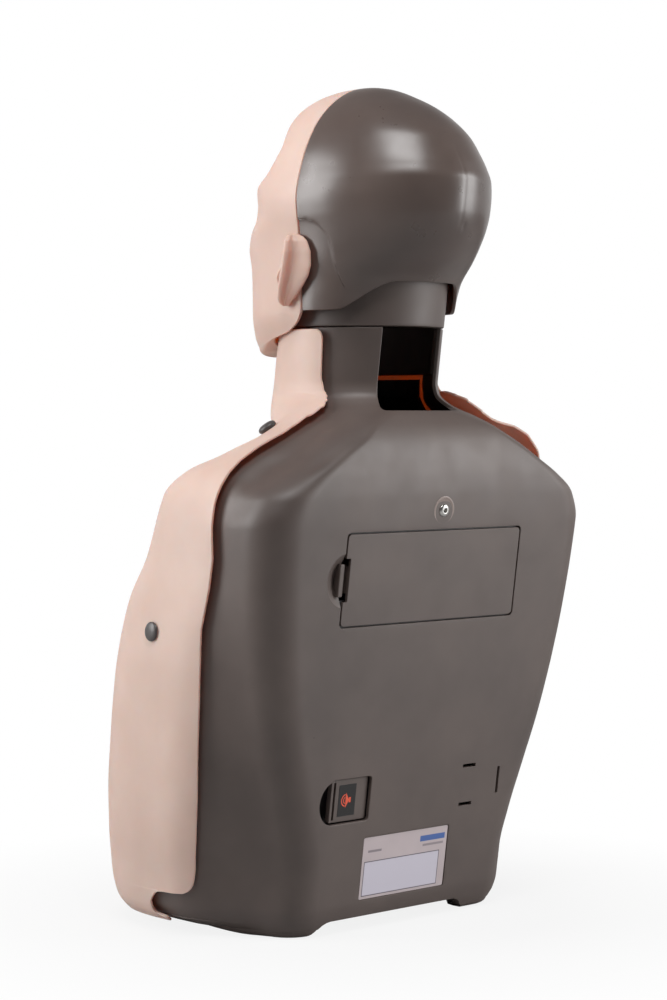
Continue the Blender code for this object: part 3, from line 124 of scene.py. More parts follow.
def new_material(name, *sizes, stretch=None, **shader_values):
    """A Principled material: itself, its tree, its shader, its Object coordinates and its noises.

    Each noise is given by the size of its blobs in millimetres, its detail and its roughness."""
    mat = bpy.data.materials.new(name)
    mat.use_nodes = True
    tree = mat.node_tree
    shader = tree.nodes["Principled BSDF"]
    for key, value in shader_values.items():
        shader.inputs[key.replace("_", " ")].default_value = value
    where = add(tree, "ShaderNodeTexCoord", out="Object")
    if stretch:
        where = add(tree, "ShaderNodeMapping", Vector=where, Scale=stretch)
    noises = [
        add(tree, "ShaderNodeTexNoise", Vector=where, Scale=1000.0 / size, Detail=detail, Roughness=rough)
        for size, detail, rough in sizes
    ]
    return mat, tree, shader, where, *noises


def dress(tree, shader, colour, rough=None, *layers):
    """Links a colour, a roughness and bump layers of (height, depth in mm, strength) to a shader."""
    normal = None
    for height, depth_mm, strength in layers:
        below = {} if normal is None else {"Normal": normal}
        normal = add(
            tree, "ShaderNodeBump", Height=height, Distance=depth_mm / 1000.0, Strength=strength, **below
        )
    for link, socket in ((colour, "Base Color"), (rough, "Roughness"), (normal, "Normal")):
        if link is not None:
            tree.links.new(link, shader.inputs[socket])


print("white is", linear("#ffffff")[:3])

# %% [markdown]
# **Shell plastic** is injection-moulded ABS in a grey brown. ABS has an IOR of 1.54. A spark-eroded
# mould leaves a fine matt grain of about 0.35 mm, drawn here at 0.7 mm so that it shows, under a
# satin gloss. The mould's slow cooling leaves faint cloudy patches, and handling leaves dust specks
# and a few rubbed spots.


# %% Shell plastic, moulded ABS
SPECK_MM = 11.0


def make_shell_plastic(name, gloss, grain_mm, grain_strength):
    """Grey-brown ABS with cloudy tone, dust specks, rubbed gloss and a moulded grain."""
    mat, tree, shader, where, clouds, handling, grain, wave = new_material(
        name, (70.0, 3.0, 0.55), (28.0, 4.0, 0.60), (grain_mm, 2.0, 0.55), (90.0, 1.0, 0.55),
        IOR=1.54, Metallic=0.0,
    )
    tone = add(tree, "ShaderNodeValToRGB", clouds, stops=((0.30, "#4c413d"), (0.70, "#594d48")))
    specks = add(tree, "ShaderNodeTexVoronoi", feature="F1", Vector=where, Scale=1000.0 / SPECK_MM, out=None)
    picked = add(tree, "ShaderNodeMapRange", specks["Color"], 0.93, 0.95, 0.0, 1.0)
    dot = add(tree, "ShaderNodeMapRange", specks["Distance"], 0.045, 0.075, 1.0, 0.0)
    speck = add(tree, "ShaderNodeMath", picked, dot, operation="MULTIPLY")
    dusted = add(
        tree, "ShaderNodeMix", data_type="RGBA", Factor=speck, i6=tone, i7=linear("#3a302c"), out="Result"
    )
    rough = add(tree, "ShaderNodeMapRange", handling, 0.25, 0.75, gloss - 0.05, gloss + 0.07)
    dress(tree, shader, dusted, rough, (wave, 0.6, 0.25), (grain, 0.03, grain_strength))
    return mat


SHELL = make_shell_plastic("moulded ABS shell", gloss=0.50, grain_mm=0.7, grain_strength=0.35)
SKULL = make_shell_plastic("polished ABS skull", gloss=0.31, grain_mm=0.9, grain_strength=0.10)
print("shell materials:", SHELL.name, "and", SKULL.name)

# %% [markdown]
# **Skin vinyl** is rotation-moulded soft PVC, IOR 1.52. It is cast against a matt mould, and it is
# thin enough to let some orange light through. Its pores of about 0.5 mm are drawn at 1.2 mm.


# %% Skin vinyl, soft PVC
TRANSLUCENT_SHARE = 0.34


def make_skin_vinyl(name):
    """Skin-coloured PVC with pores and ripples, that lets some orange light through."""
    mat, tree, shader, where, clouds, worn, pores, ripple = new_material(
        name, (55.0, 3.0, 0.55), (20.0, 3.0, 0.55), (1.2, 2.0, 0.55), (16.0, 2.0, 0.55),
        IOR=1.52, Metallic=0.0, Subsurface_Weight=0.22, Subsurface_Scale=0.003,
        Subsurface_Radius=(1.0, 0.45, 0.26), Sheen_Weight=0.03, Sheen_Roughness=0.5,
    )
    tone = add(tree, "ShaderNodeValToRGB", clouds, stops=((0.28, "#dfcbbd"), (0.72, "#e8d7cb")))
    rough = add(tree, "ShaderNodeMapRange", worn, 0.3, 0.7, 0.38, 0.50)
    dress(tree, shader, tone, rough, (ripple, 0.5, 0.18), (pores, 0.05, 0.30))
    through = add(tree, "ShaderNodeBsdfTranslucent", Color=linear("#f59a52"))
    both = add(tree, "ShaderNodeMixShader", TRANSLUCENT_SHARE, shader.outputs[0], through)
    tree.links.new(both, tree.nodes["Material Output"].inputs["Surface"])
    return mat


SKIN = make_skin_vinyl("soft PVC skin")
print("skin material:", SKIN.name)

# %% [markdown]
# The other finishes are plainer: dark ABS, natural polypropylene, acetal snaps, zinc-plated steel,
# spring brass, lacquered cans, polyethylene film, a printed film label and a green board. The front
# frame is light grey plastic, but it is given the dark ABS as painted shade for the inside of the neck.


# %% The remaining finishes
def make_plain(name, low, high, rough, size_mm, depth_mm, strength, metal=0.0, stretch=None, **more):
    """A two-tone material with one grain that sets its colour, gloss and bump."""
    mat, tree, shader, where, grain, patch = new_material(
        name, (size_mm, 3.0, 0.55), (size_mm * 12.0, 2.0, 0.55), stretch=stretch, Metallic=metal, **more
    )
    tone = add(tree, "ShaderNodeValToRGB", patch, stops=((0.3, low), (0.7, high)))
    gloss = add(tree, "ShaderNodeMapRange", grain, 0.3, 0.7, rough - 0.06, rough + 0.06)
    dress(tree, shader, tone, gloss, (grain, depth_mm, strength))
    return mat


# This dark ABS also serves as painted shade: it colours the front frame, seen through the neck window.
DARK_ABS_AND_SHADE = make_plain("moulded dark ABS and painted shade", "#1c191a", "#262224", 0.42, 0.8, 0.03, 0.3, IOR=1.54)
INNER = make_plain("moulded natural polypropylene", "#c4c0b8", "#cfcbc3", 0.48, 1.0, 0.04, 0.3, IOR=1.49)
SNAP = make_plain("moulded acetal", "#3c3837", "#494443", 0.36, 0.9, 0.03, 0.3, IOR=1.48)
CAP = make_plain("turned grey ABS ring", "#85766f", "#8f807a", 0.24, 0.6, 0.02, 0.2, IOR=1.54)
ZINC = make_plain("zinc plated steel", "#b4b2ae", "#c2c0bc", 0.30, 0.4, 0.02, 0.4, metal=1.0)
BRASS = make_plain("sprung brass", "#b98f45", "#c9a259", 0.28, 0.5, 0.02, 0.3, metal=1.0, stretch=(1, 1, 8))
CAN = make_plain("lacquered steel can", "#3b3e45", "#464a52", 0.34, 0.8, 0.02, 0.2, IOR=1.5)
FILM = make_plain("milky polyethylene film", "#d6d6cf", "#e2e2dc", 0.32, 3.0, 0.3, 0.4, IOR=1.51)
BOARD = make_plain("solder-masked board", "#1c4a30", "#255a3b", 0.38, 1.2, 0.03, 0.4, IOR=1.55)
CONE = make_plain("pressed paper cone", "#1d1d1f", "#29292b", 0.70, 0.5, 0.06, 0.5, IOR=1.5)
LABEL = make_plain("printed polyester film", "#b3a9ad", "#bbb1b6", 0.38, 0.9, 0.01, 0.2, IOR=1.58)
PLAIN_FINISHES = {
    # The front frame is light grey; its dark ABS here is painted shade inside the neck window.
    "battery_tray": DARK_ABS_AND_SHADE, "click_pocket": DARK_ABS_AND_SHADE, "click_cover": DARK_ABS_AND_SHADE, "front_frame": DARK_ABS_AND_SHADE,
    "face_frame": INNER, "chest_plate": INNER, "guide_post": INNER, "neck_pin": ZINC,
    "press_spring": ZINC, "shell_screw": ZINC, "contact_left": BRASS, "contact_right": BRASS,
    "lung_bag": FILM, "airway_tube": FILM, "mouth_tube": FILM, "circuit_board": BOARD,
    "speaker": CONE, "click_icon": CONE, "label_plate": LABEL, "screw_cap": CAP,
    "back_shell": SHELL, "neck_tube": SHELL, "battery_door": SHELL, "head_shell": SKULL,
    "chest_skin": SKIN, "face_mask": SKIN,
}
for node_name, node_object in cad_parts.items():
    finish = PLAIN_FINISHES.get(node_name)
    if node_name.startswith("battery_cell"):
        finish = CAN
    if node_name.startswith("button"):
        finish = SNAP
    for node_slot in node_object.material_slots:
        node_slot.material = finish
print("finishes given to", len(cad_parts), "pieces")

# %% [markdown]
# The bust's outline is a table of stations, one row for each height. Every main piece is drawn
# from it: at any height the table gives the half outline, from the middle of the back round to
# the middle of the chest. A smooth curve runs through the stations without overshoot, so the
# surface has no ripples, and it can be cut into as many rows as the render needs.

# %% Stations of the torso and the head, in metres
BACK_LEAN = math.radians(7.9)
PANEL_Y = 0.1030
PANEL_Z = 0.262
# Height, how far the back lies ahead of the panel, half width of the flat back, corner radius,
# greatest half width and its place, the front's place, and the roundness of the front.
TORSO = np.array((
    (0.0050, 0.0038, 0.0870, 0.027, 0.1320, 0.084, 0.1880, 3.0),
    (0.0120, 0.0013, 0.0885, 0.029, 0.1465, 0.084, 0.1975, 3.1),
    (0.0220, 0.0001, 0.0895, 0.030, 0.1540, 0.084, 0.2010, 3.2),
    (0.0450, 0.0000, 0.0895, 0.030, 0.1600, 0.084, 0.2025, 3.3),
    (0.0750, 0.0000, 0.0955, 0.030, 0.1665, 0.084, 0.2025, 3.3),
    (0.1100, 0.0000, 0.1060, 0.030, 0.1705, 0.084, 0.2035, 3.3),
    (0.1500, 0.0000, 0.1180, 0.030, 0.1725, 0.084, 0.2030, 3.3),
    (0.2000, 0.0000, 0.1285, 0.030, 0.1740, 0.084, 0.2020, 3.2),
    (0.2400, 0.0000, 0.1340, 0.030, 0.1720, 0.084, 0.1995, 3.0),
    (0.2750, 0.0000, 0.1370, 0.030, 0.1685, 0.084, 0.1870, 2.7),
    (0.3000, 0.0000, 0.1380, 0.030, 0.1670, 0.083, 0.1820, 2.6),
    (0.3200, 0.0006, 0.1310, 0.030, 0.1640, 0.082, 0.1775, 2.6),
    (0.3350, 0.0022, 0.1150, 0.030, 0.1580, 0.080, 0.1680, 2.2),
    (0.3500, 0.0058, 0.0940, 0.030, 0.1380, 0.077, 0.1470, 1.55),
    (0.3600, 0.0095, 0.0790, 0.030, 0.1160, 0.073, 0.1430, 1.4),
    (0.3700, 0.0155, 0.0600, 0.031, 0.0960, 0.076, 0.1480, 1.42),
    (0.3800, 0.0250, 0.0340, 0.037, 0.0770, 0.088, 0.1570, 1.7),
    (0.3880, 0.0350, 0.0140, 0.048, 0.0660, 0.097, 0.1600, 1.9),
    (0.3960, 0.0410, 0.0030, 0.057, 0.0605, 0.101, 0.1613, 2.0),
    (0.4060, 0.0425, 0.0000, 0.0595, 0.0595, 0.102, 0.1615, 2.0),
    (0.4600, 0.0425, 0.0000, 0.0595, 0.0595, 0.102, 0.1615, 2.0),
))
# Height, half width, length behind the plane that splits skull and face, length ahead of it.
HEAD = np.array((
    (0.4100, 0.0440, 0.0500, 0.0870),
    (0.4250, 0.0560, 0.0520, 0.0960),
    (0.4400, 0.0660, 0.0530, 0.0990),
    (0.4566, 0.0712, 0.0550, 0.0980),
    (0.4775, 0.0716, 0.0640, 0.0980),
    (0.4940, 0.0722, 0.0810, 0.0980),
    (0.5050, 0.0728, 0.0900, 0.0985),
    (0.5170, 0.0740, 0.0970, 0.0965),
    (0.5280, 0.0755, 0.1005, 0.0880),
    (0.5390, 0.0762, 0.1020, 0.0850),
    (0.5510, 0.0745, 0.1030, 0.0870),
    (0.5620, 0.0714, 0.0994, 0.0756),
    (0.5730, 0.0676, 0.0934, 0.0668),
    (0.5840, 0.0624, 0.0866, 0.0614),
    (0.5960, 0.0549, 0.0741, 0.0617),
    (0.6076, 0.0439, 0.0573, 0.0582),
    (0.6170, 0.0306, 0.0377, 0.0470),
    (0.6230, 0.0174, 0.0214, 0.0298),
    (0.6256, 0.0060, 0.0077, 0.0086),
))
HEAD_Y = PANEL_Y - 0.070
HEAD_TOP_Z = 0.6260
print("stations:", len(TORSO), "for the torso and", len(HEAD), "for the head")


# %% A smooth curve through the stations
def station(table, height, column):
    """A column of a station table at a height."""
    z, v = table[:, 0], table[:, column]
    slope = np.diff(v) / np.diff(z)
    tangent = np.zeros(len(z))
    same = slope[:-1] * slope[1:] > 0
    mean = 2 * slope[:-1] * slope[1:] / np.where(same, slope[:-1] + slope[1:], 1.0)
    tangent[1:-1] = np.where(same, mean, 0.0)
    tangent[0], tangent[-1] = slope[0], slope[-1]
    h = min(max(height, z[0]), z[-1])
    i = min(int(np.searchsorted(z, h, side="right")) - 1, len(z) - 2)
    step = z[i + 1] - z[i]
    t = (h - z[i]) / step
    run = v[i] + (v[i + 1] - v[i]) * t * t * (3 - 2 * t)
    return float(run + tangent[i] * step * t * (1 - t) ** 2 - tangent[i + 1] * step * t * t * (1 - t))


def smooth(value, low, high):
    """0 below low, 1 above high, and a soft step between."""
    t = np.clip((value - low) / (high - low), 0.0, 1.0)
    return t * t * (3 - 2 * t)


def panel_y(z):
    """Where the panel lies at a height."""
    return PANEL_Y + math.tan(BACK_LEAN) * (z - PANEL_Z)


FLARE_SHARE, HANDLE_SHARE = 0.75, 0.36


def torso_half(z, fine=3):
    """Half outline at a height, from the back's middle to the front's, and its widest place."""
    ahead, flat, corner, wide, wide_at, front_at, power = (station(TORSO, z, c) for c in range(1, 8))
    rear = panel_y(z)
    points = [(flat * i / (6 * fine), rear - ahead) for i in range(6 * fine)]
    run = wide_at - ahead - corner
    out = wide - flat - corner
    flare = FLARE_SHARE * math.atan2(max(out, 0.0), max(run, 1e-4)) if run > 1e-3 else 0.0
    for a in np.linspace(math.pi / 2, flare, 12 * fine + 1):
        points.append((flat + corner * math.cos(a), rear - ahead - corner + corner * math.sin(a)))
    start = Vector(points[-1])
    end = Vector((wide, rear - wide_at))
    reach = (end - start).length
    if reach > 1e-5:
        first = start + Vector((math.sin(flare), -math.cos(flare))) * reach * HANDLE_SHARE
        second = end + Vector((0.0, reach * HANDLE_SHARE))
        for t in np.linspace(0, 1, 12 * fine + 1)[1:]:
            s = 1 - t
            p = start * s ** 3 + first * 3 * t * s * s + second * 3 * t * t * s + end * t ** 3
            points.append((p.x, p.y))
    rim = len(points) - 1
    for a in np.linspace(0, math.pi / 2, 32 * fine + 1)[1:]:
        x = wide * abs(math.cos(a)) ** (2 / power)
        y = rear - wide_at - (front_at - wide_at) * math.sin(a) ** (2 / power)
        points.append((x, y))
    points[-1] = (0.0, points[-1][1])
    return np.array(points), rim


def along(points):
    """Length run along a polyline, at each of its points."""
    return np.concatenate([[0.0], np.cumsum(np.linalg.norm(np.diff(points, axis=0), axis=1))])


half, widest = torso_half(0.20)
print("half outline at 0.20 m:", len(half), "points, widest at x =", round(half[widest][0], 3))

# %% [markdown]
# A moulding is two grids of points, its outer and its inner face, a wall apart, joined round
# their edge by a small half round, because moulded plastic has no knife edges.


# %% Closed mouldings from two grids
EDGE_STEPS = 4


def grid_normals(grid, towards):
    """Unit normals of a grid of points, turned to the side of a direction at its middle."""
    n = np.cross(np.gradient(grid, axis=1), np.gradient(grid, axis=0))
    n = n / np.maximum(np.linalg.norm(n, axis=2, keepdims=True), 1e-12)
    middle = n[n.shape[0] // 2, n.shape[1] // 2]
    return n if float(np.dot(middle, towards)) > 0 else -n


def finish_mesh(name, bm, mat, sharp=35.0):
    """A bmesh made into a smooth-shaded object with its faces outwards."""
    bmesh.ops.remove_doubles(bm, verts=bm.verts, dist=2e-6)
    bmesh.ops.dissolve_degenerate(bm, edges=bm.edges, dist=1e-7)
    bmesh.ops.recalc_face_normals(bm, faces=bm.faces)
    if bm.calc_volume(signed=True) < 0:
        bmesh.ops.reverse_faces(bm, faces=bm.faces)
    mesh = bpy.data.meshes.new(name)
    bm.to_mesh(mesh)
    bm.free()
    mesh.shade_smooth()
    mesh.set_sharp_from_angle(angle=math.radians(sharp))
    mesh.materials.append(mat)
    return put(name, mesh)


def moulding(name, outer, inner, mat, bulge=0.5, steps=EDGE_STEPS, around=False, pole=False, sharp=35.0):
    """A closed solid between two grids of points of the same size, with rounded edges.

    around closes the columns into a ring, pole says that the last row is one point."""
    rows, cols = outer.shape[:2]
    bm = bmesh.new()
    a = [[bm.verts.new(p) for p in row] for row in outer]
    b = [[bm.verts.new(p) for p in row] for row in inner]

    def face(*corners):
        distinct = []
        for v in corners:
            if all((v.co - w.co).length > 1e-6 for w in distinct):
                distinct.append(v)
        if len(distinct) > 2:
            bm.faces.new(distinct)

    for i in range(rows - 1):
        for j in range(cols if around else cols - 1):
            k = (j + 1) % cols
            face(a[i][j], a[i][k], a[i + 1][k], a[i + 1][j])
            face(b[i][k], b[i][j], b[i + 1][j], b[i + 1][k])

    def rim(loop, inward):
        """Half-round strips along a loop of edge places, each with the place next to it inwards."""
        strips = []
        for place, inside in zip(loop, inward):
            p, q = Vector(outer[place]), Vector(inner[place])
            middle = (p + q) / 2
            half_wall = (p - q) / 2
            way = middle - (Vector(outer[inside]) + Vector(inner[inside])) / 2
            way -= way.project(half_wall) if half_wall.length > 1e-9 else Vector()
            way = way.normalized() * half_wall.length * 2 * bulge if way.length > 1e-9 else Vector()
            strip = [a[place[0]][place[1]]]
            for t in np.linspace(0, math.pi, steps + 1)[1:-1]:
                strip.append(bm.verts.new(middle + half_wall * math.cos(t) + way * math.sin(t)))
            strip.append(b[place[0]][place[1]])
            strips.append(strip)
        for one, two in zip(strips, strips[1:] + strips[:1]):
            for s in range(steps):
                face(one[s], two[s], two[s + 1], one[s + 1])

    if around:
        rim([(0, j) for j in range(cols)], [(1, j) for j in range(cols)])
        rim([(rows - 1, j) for j in range(cols)], [(rows - 2, j) for j in range(cols)])
    else:
        loop = [(0, j) for j in range(cols)] + [(i, cols - 1) for i in range(1, rows)]
        if not pole:
            loop += [(rows - 1, j) for j in range(cols - 2, -1, -1)]
        loop += [(i, 0) for i in range(rows - 2, 0, -1)]
        rim(loop, [(min(max(i, 1), rows - 2), min(max(j, 1), cols - 2)) for i, j in loop])
    return finish_mesh(name, bm, mat, sharp)


def solid(name, rings, mat, sharp=35.0):
    """A closed solid through rings of points, with flat ends."""
    bm = bmesh.new()
    loops = [[bm.verts.new(p) for p in ring] for ring in rings]
    for low, high in zip(loops[:-1], loops[1:]):
        for i in range(len(low)):
            k = (i + 1) % len(low)
            bm.faces.new((low[i], low[k], high[k], high[i]))
    bm.faces.new(loops[0])
    bm.faces.new(loops[-1])
    return finish_mesh(name, bm, mat, sharp)


print("a moulding's edge is a half round of", EDGE_STEPS, "steps")

# %% [markdown]
# Everything on the back is placed in the panel's own coordinates: u across, v up the slope and
# w outwards. Openings are cut with solids that widen at the surface in a quarter round, so each
# cut leaves the rounded edge of a moulded opening, with no bevel to go wrong on small faces.


# %% Places and outlines on the back panel
def on_panel(u, v, w=0.0):
    """A place u across the panel, v up its slope and w outwards from its middle."""
    up = Vector((0.0, math.sin(BACK_LEAN), math.cos(BACK_LEAN)))
    out = Vector((0.0, math.cos(BACK_LEAN), -math.sin(BACK_LEAN)))
    return Vector((u, PANEL_Y, PANEL_Z)) + up * v + out * w


def oblong(centre, half_u, half_v, radius, steps=6):
    """Outline of a rectangle with round corners, as a function of how far it is moved out."""
    def outline(out=0.0):
        r = max(radius + out, 0.0001)
        a, b = half_u + out, half_v + out
        points = []
        for su, sv, start in ((1, 1, 0), (-1, 1, 90), (-1, -1, 180), (1, -1, 270)):
            for i in range(steps + 1):
                t = math.radians(start + 90 * i / steps)
                points.append((
                    centre[0] + su * (a - r) + r * math.cos(t), centre[1] + sv * (b - r) + r * math.sin(t),
                ))
        return points
    return outline


def circle(steps):
    """Points of a circle of radius 1."""
    return [(math.cos(2 * math.pi * i / steps), math.sin(2 * math.pi * i / steps)) for i in range(steps)]


def disc(centre, radius, stretch=(1.0, 1.0), steps=48):
    """Outline of a circle or an oval, as a function of how far it is moved out."""
    def outline(out=0.0):
        wide, high = radius * stretch[0] + out, radius * stretch[1] + out
        return [(centre[0] + wide * x, centre[1] + high * y) for x, y in circle(steps)]
    return outline


def plate(name, outline, low, high, mat, edge=0.0004, steps=EDGE_STEPS, place=on_panel, under=None):
    """A plate between two levels with its upper and lower edges rounded."""
    under = edge if under is None else under
    turn = np.linspace(0, math.pi / 2, steps + 1)
    levels = [(-under * (1 - math.sin(t)), low + under * (1 - math.cos(t))) for t in turn]
    levels += [(-edge * (1 - math.cos(t)), high - edge * (1 - math.sin(t))) for t in turn]
    rings = [[place(u, v, w) for u, v in outline(out)] for out, w in levels]
    return solid(name, rings, mat)


def cutter(name, outline, depth, edge=0.0005, surface=0.0, steps=EDGE_STEPS, place=on_panel):
    """A cutting solid that leaves a rounded edge of this radius at the surface."""
    turn = np.linspace(0, math.pi / 2, steps + 1)
    levels = [(0.0, -depth)]
    levels += [(edge * (1 - math.cos(t)), surface - edge + edge * math.sin(t)) for t in turn]
    levels[-1] = (levels[-1][0], surface + 0.00002)
    levels += [(edge, surface + 0.012)]
    return solid(name, [[place(u, v, w) for u, v in outline(out)] for out, w in levels], SHELL)


def apply_modifiers(obj):
    """Give the object the mesh that its modifiers make, and drop them."""
    mesh = bpy.data.meshes.new_from_object(obj.evaluated_get(bpy.context.evaluated_depsgraph_get()))
    obj.modifiers.clear()
    obj.data = mesh
    return mesh


def boolean(obj, tool, operation="DIFFERENCE"):
    """Cut or join one solid with another, for good."""
    mod = obj.modifiers.new("cut", "BOOLEAN")
    mod.operation, mod.solver, mod.object = operation, "EXACT", tool
    mats = list(obj.data.materials)
    mesh = apply_modifiers(obj)
    mesh.materials.clear()
    for mat in mats:
        mesh.materials.append(mat)
    mesh.polygons.foreach_set("material_index", [0] * len(mesh.polygons))
    bpy.data.objects.remove(tool, do_unlink=True)
    return obj


def together(name, objects):
    """Several separate solids in one mesh, to cut with them in one go."""
    bm = bmesh.new()
    for obj in objects:
        bm.from_mesh(obj.data)
    mat = objects[0].data.materials[0]
    for obj in objects:
        bpy.data.objects.remove(obj, do_unlink=True)
    mesh = bpy.data.meshes.new(name)
    bm.to_mesh(mesh)
    bm.free()
    mesh.materials.append(mat)
    return put(name, mesh)


def settle(obj, sharp=35.0):
    """Clean a cut mesh, and shade it smooth with crisp corners."""
    bm = bmesh.new()
    bm.from_mesh(obj.data)
    bmesh.ops.remove_doubles(bm, verts=bm.verts, dist=4e-6)
    bmesh.ops.dissolve_degenerate(bm, edges=bm.edges, dist=1e-6)
    bm.to_mesh(obj.data)
    bm.free()
    obj.data.shade_smooth()
    obj.data.set_sharp_from_angle(angle=math.radians(sharp))
    return obj


def stand_in(obj, body, slot, *nodes):
    """The piece moves with a body and is shown in place of these nodes of the model.

    Its normals lean to the larger faces, so flat faces look flat up to their rounded edges."""
    obj.modifiers.new("flat", "WEIGHTED_NORMAL").keep_sharp = True
    apply_modifiers(obj)
    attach(obj, body)
    if nodes:
        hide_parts(*nodes)
    print(obj.name, "stands for", ", ".join(nodes) or "a detail", "-", len(obj.data.polygons), "faces")
    return obj


print("middle of the panel:", tuple(round(c, 3) for c in on_panel(0.0, 0.0)))


# %% [markdown]
# **The back shell** is one moulding: a flat leaning panel with rounded corners, shoulders that
# flow into a collar, a closed floor and four feet. Its openings are the battery bay with a
# scooped finger recess, the click switch's pocket with a thumb recess, the label's shallow well,
# the screw's well, three slots, the neck window and the arch between the feet.

# %% Back shell: its two faces
SHELL_WALL = 0.0026
NECK_TOP_Z = 0.4450
FLOOR_Z = 0.0112


def rim_share(z):
    """Share of the run from mid-back to the widest line that the back shell covers."""
    neck = min(max((z - 0.372) / 0.024, 0.0), 1.0)
    waist = min(max((0.045 - z) / 0.012, 0.0), 1.0)
    return 1.0 - 0.14 * neck + 0.42 * waist


def back_row(z):
    """The shell's outer face at a height, from the right rim round to the left."""
    part, rim = torso_half(z)
    run = along(part)
    total = run[rim] * rim_share(z)
    flat = min(max(station(TORSO, z, 2), 0.12 * total), 0.45 * total)
    marks = np.concatenate([np.linspace(0, flat, 11), np.linspace(flat, total, 42)[1:]])
    half = np.stack([np.interp(marks, run, part[:, k]) for k in range(2)], 1)
    ahead = panel_y(z) - half[:, 1]
    hollow = 0.0068 * smooth(z, 0.325, 0.347) * (1 - smooth(z, 0.388, 0.402))
    hollow *= smooth(half[:, 0], 0.055, 0.090)
    half[:, 0] -= hollow * smooth(ahead, 0.001, 0.016) * (1 - smooth(ahead, 0.040, 0.060))
    left = [(x, y, z) for x, y in half]
    right = [(-x, y, z) for x, y in half[:0:-1]]
    return np.array(right + left)


heights = np.concatenate([
    np.linspace(0.0056, 0.050, 26), np.linspace(0.050, 0.300, 60)[1:],
    np.linspace(0.300, 0.412, 62)[1:], np.linspace(0.412, NECK_TOP_Z - 0.0008, 12)[1:],
])
outer = np.array([back_row(z) for z in heights])
normals = grid_normals(outer, (0, 1, 0))
inner = outer - normals * SHELL_WALL
inner[0, :, 2] = outer[0, :, 2]
inner[-1, :, 2] = outer[-1, :, 2]
shell = moulding("back_shell_moulding", outer, inner, SHELL, bulge=0.30, steps=6)
print("back shell rows and columns:", outer.shape[:2])


# %% Back shell: floor and feet
def whole_outline(z, inset, count=160):
    """Whole outline at a height, moved inwards, and further in under the front frame."""
    points = torso_half(z)[0]
    run = along(points)
    at = np.linspace(0.0, run[-1], count // 2 + 1)
    half = np.stack([np.interp(at, run, points[:, k]) for k in range(2)], 1)
    ring = np.concatenate([half, half[-2:0:-1] * (-1, 1)])
    tangent = np.roll(ring, -1, 0) - np.roll(ring, 1, 0)
    normal = np.stack([tangent[:, 1], -tangent[:, 0]], 1)
    normal /= np.linalg.norm(normal, axis=1, keepdims=True)
    if np.mean(np.sum(normal * (ring - ring.mean(0)), 1)) < 0:
        normal = -normal
    ahead = panel_y(z) - ring[:, 1:2]
    return ring - normal * (inset + 0.0075 * np.clip((ahead - 0.150) / 0.014, 0.0, 1.0))


def flat_place(x, y, z):
    """A place for a plate that lies level."""
    return Vector((x, y, z))


FLOOR_WALL, FLOOR_INSET = 0.0032, 0.0012
FOOT_AT_Z, FOOT_TOP_Z = 0.0065, FLOOR_Z + 0.0010
ring = whole_outline(0.0130, FLOOR_INSET)
boolean(shell, solid(
    "floor_plate", [[(x, y, z) for x, y in ring] for z in (FLOOR_Z, FLOOR_Z + FLOOR_WALL)], SHELL,
), "UNION")
feet = []
foot_outline = whole_outline(FOOT_AT_Z, FLOOR_INSET, 320)
for sign in (1, -1):
    inside = (sign * foot_outline[:, 0] > 0.0590) & (foot_outline[:, 1] > panel_y(0.0) - 0.0880)
    middle = foot_outline[inside].mean(0)
    spots = foot_outline[inside] - middle
    order = np.argsort(np.arctan2(spots[:, 1], spots[:, 0]))
    rings = []
    for z, inset in (
        (0.0, 0.0068), (0.0002, 0.0060), (0.0008, 0.0046), (0.0018, 0.0032), (0.0034, 0.0021),
        (0.0060, 0.0013), (FOOT_TOP_Z, FLOOR_INSET),
    ):
        corner = whole_outline(FOOT_AT_Z, inset, 320)[inside][order]
        lift = 0.0054 * smooth(panel_y(0.0) - corner[:, 1], 0.040, 0.086) * (1 - z / FOOT_TOP_Z)
        rings.append([(x, y, z + rise) for (x, y), rise in zip(corner, lift)])
    feet.append(solid("corner_foot", rings, SHELL))
    spot = (sign * 0.0880, PANEL_Y - 0.1565)
    feet.append(plate(
        "round_foot", disc(spot, 0.0140), 0.0, FOOT_TOP_Z, SHELL, edge=0.0002, under=0.0016, place=flat_place,
    ))
boolean(shell, together("feet", feet), "UNION")
print("feet:", len(feet))

# %% Back shell: openings
DOOR_CENTRE, DOOR_HALF = (0.004, 0.0), (0.0900, 0.0336)
LATCH_U, LATCH_V = DOOR_CENTRE[0] + DOOR_HALF[0], 0.0001
SWITCH_CENTRE, SWITCH_HALF = (0.0665, -0.1640), (0.0200, 0.01675)
LABEL_CENTRE, LABEL_HALF = (0.0035, -0.2180), (0.04425, 0.0235)
SCREW_SPOT = (-0.0010, 0.0485)
THROUGH = 0.012
tools = [
    cutter(
        "label_well", oblong(LABEL_CENTRE, LABEL_HALF[0] + 0.0005, LABEL_HALF[1] + 0.0005, 0.0016), 0.0009, 0.0004,
    ),
    cutter("cap_well", disc(SCREW_SPOT, 0.0112), 0.0013, 0.0003),
    cutter("screw_hole", disc(SCREW_SPOT, 0.0026, steps=20), THROUGH, 0.0001, surface=-0.001),
]
for u, v, half_u, half_v in (
    (-0.0570, -0.1495, 0.0070, 0.0013), (-0.0565, -0.1795, 0.0070, 0.0013), (-0.0905, -0.1640, 0.0013, 0.0105),
):
    tools.append(cutter("slot", oblong((u, v), half_u, half_v, 0.0004, 3), THROUGH, 0.0002))
boolean(shell, together("openings", tools))
boolean(shell, cutter(
    "bay", oblong(DOOR_CENTRE, DOOR_HALF[0] + 0.0011, DOOR_HALF[1] + 0.0011, 0.0036), THROUGH, 0.0003,
))
pocket_cut = cutter("pocket", oblong(SWITCH_CENTRE, SWITCH_HALF[0], SWITCH_HALF[1], 0.0026), THROUGH, 0.0006)
thumb_at = (SWITCH_CENTRE[0] + SWITCH_HALF[0] - 0.004, SWITCH_CENTRE[1] - 0.0005)
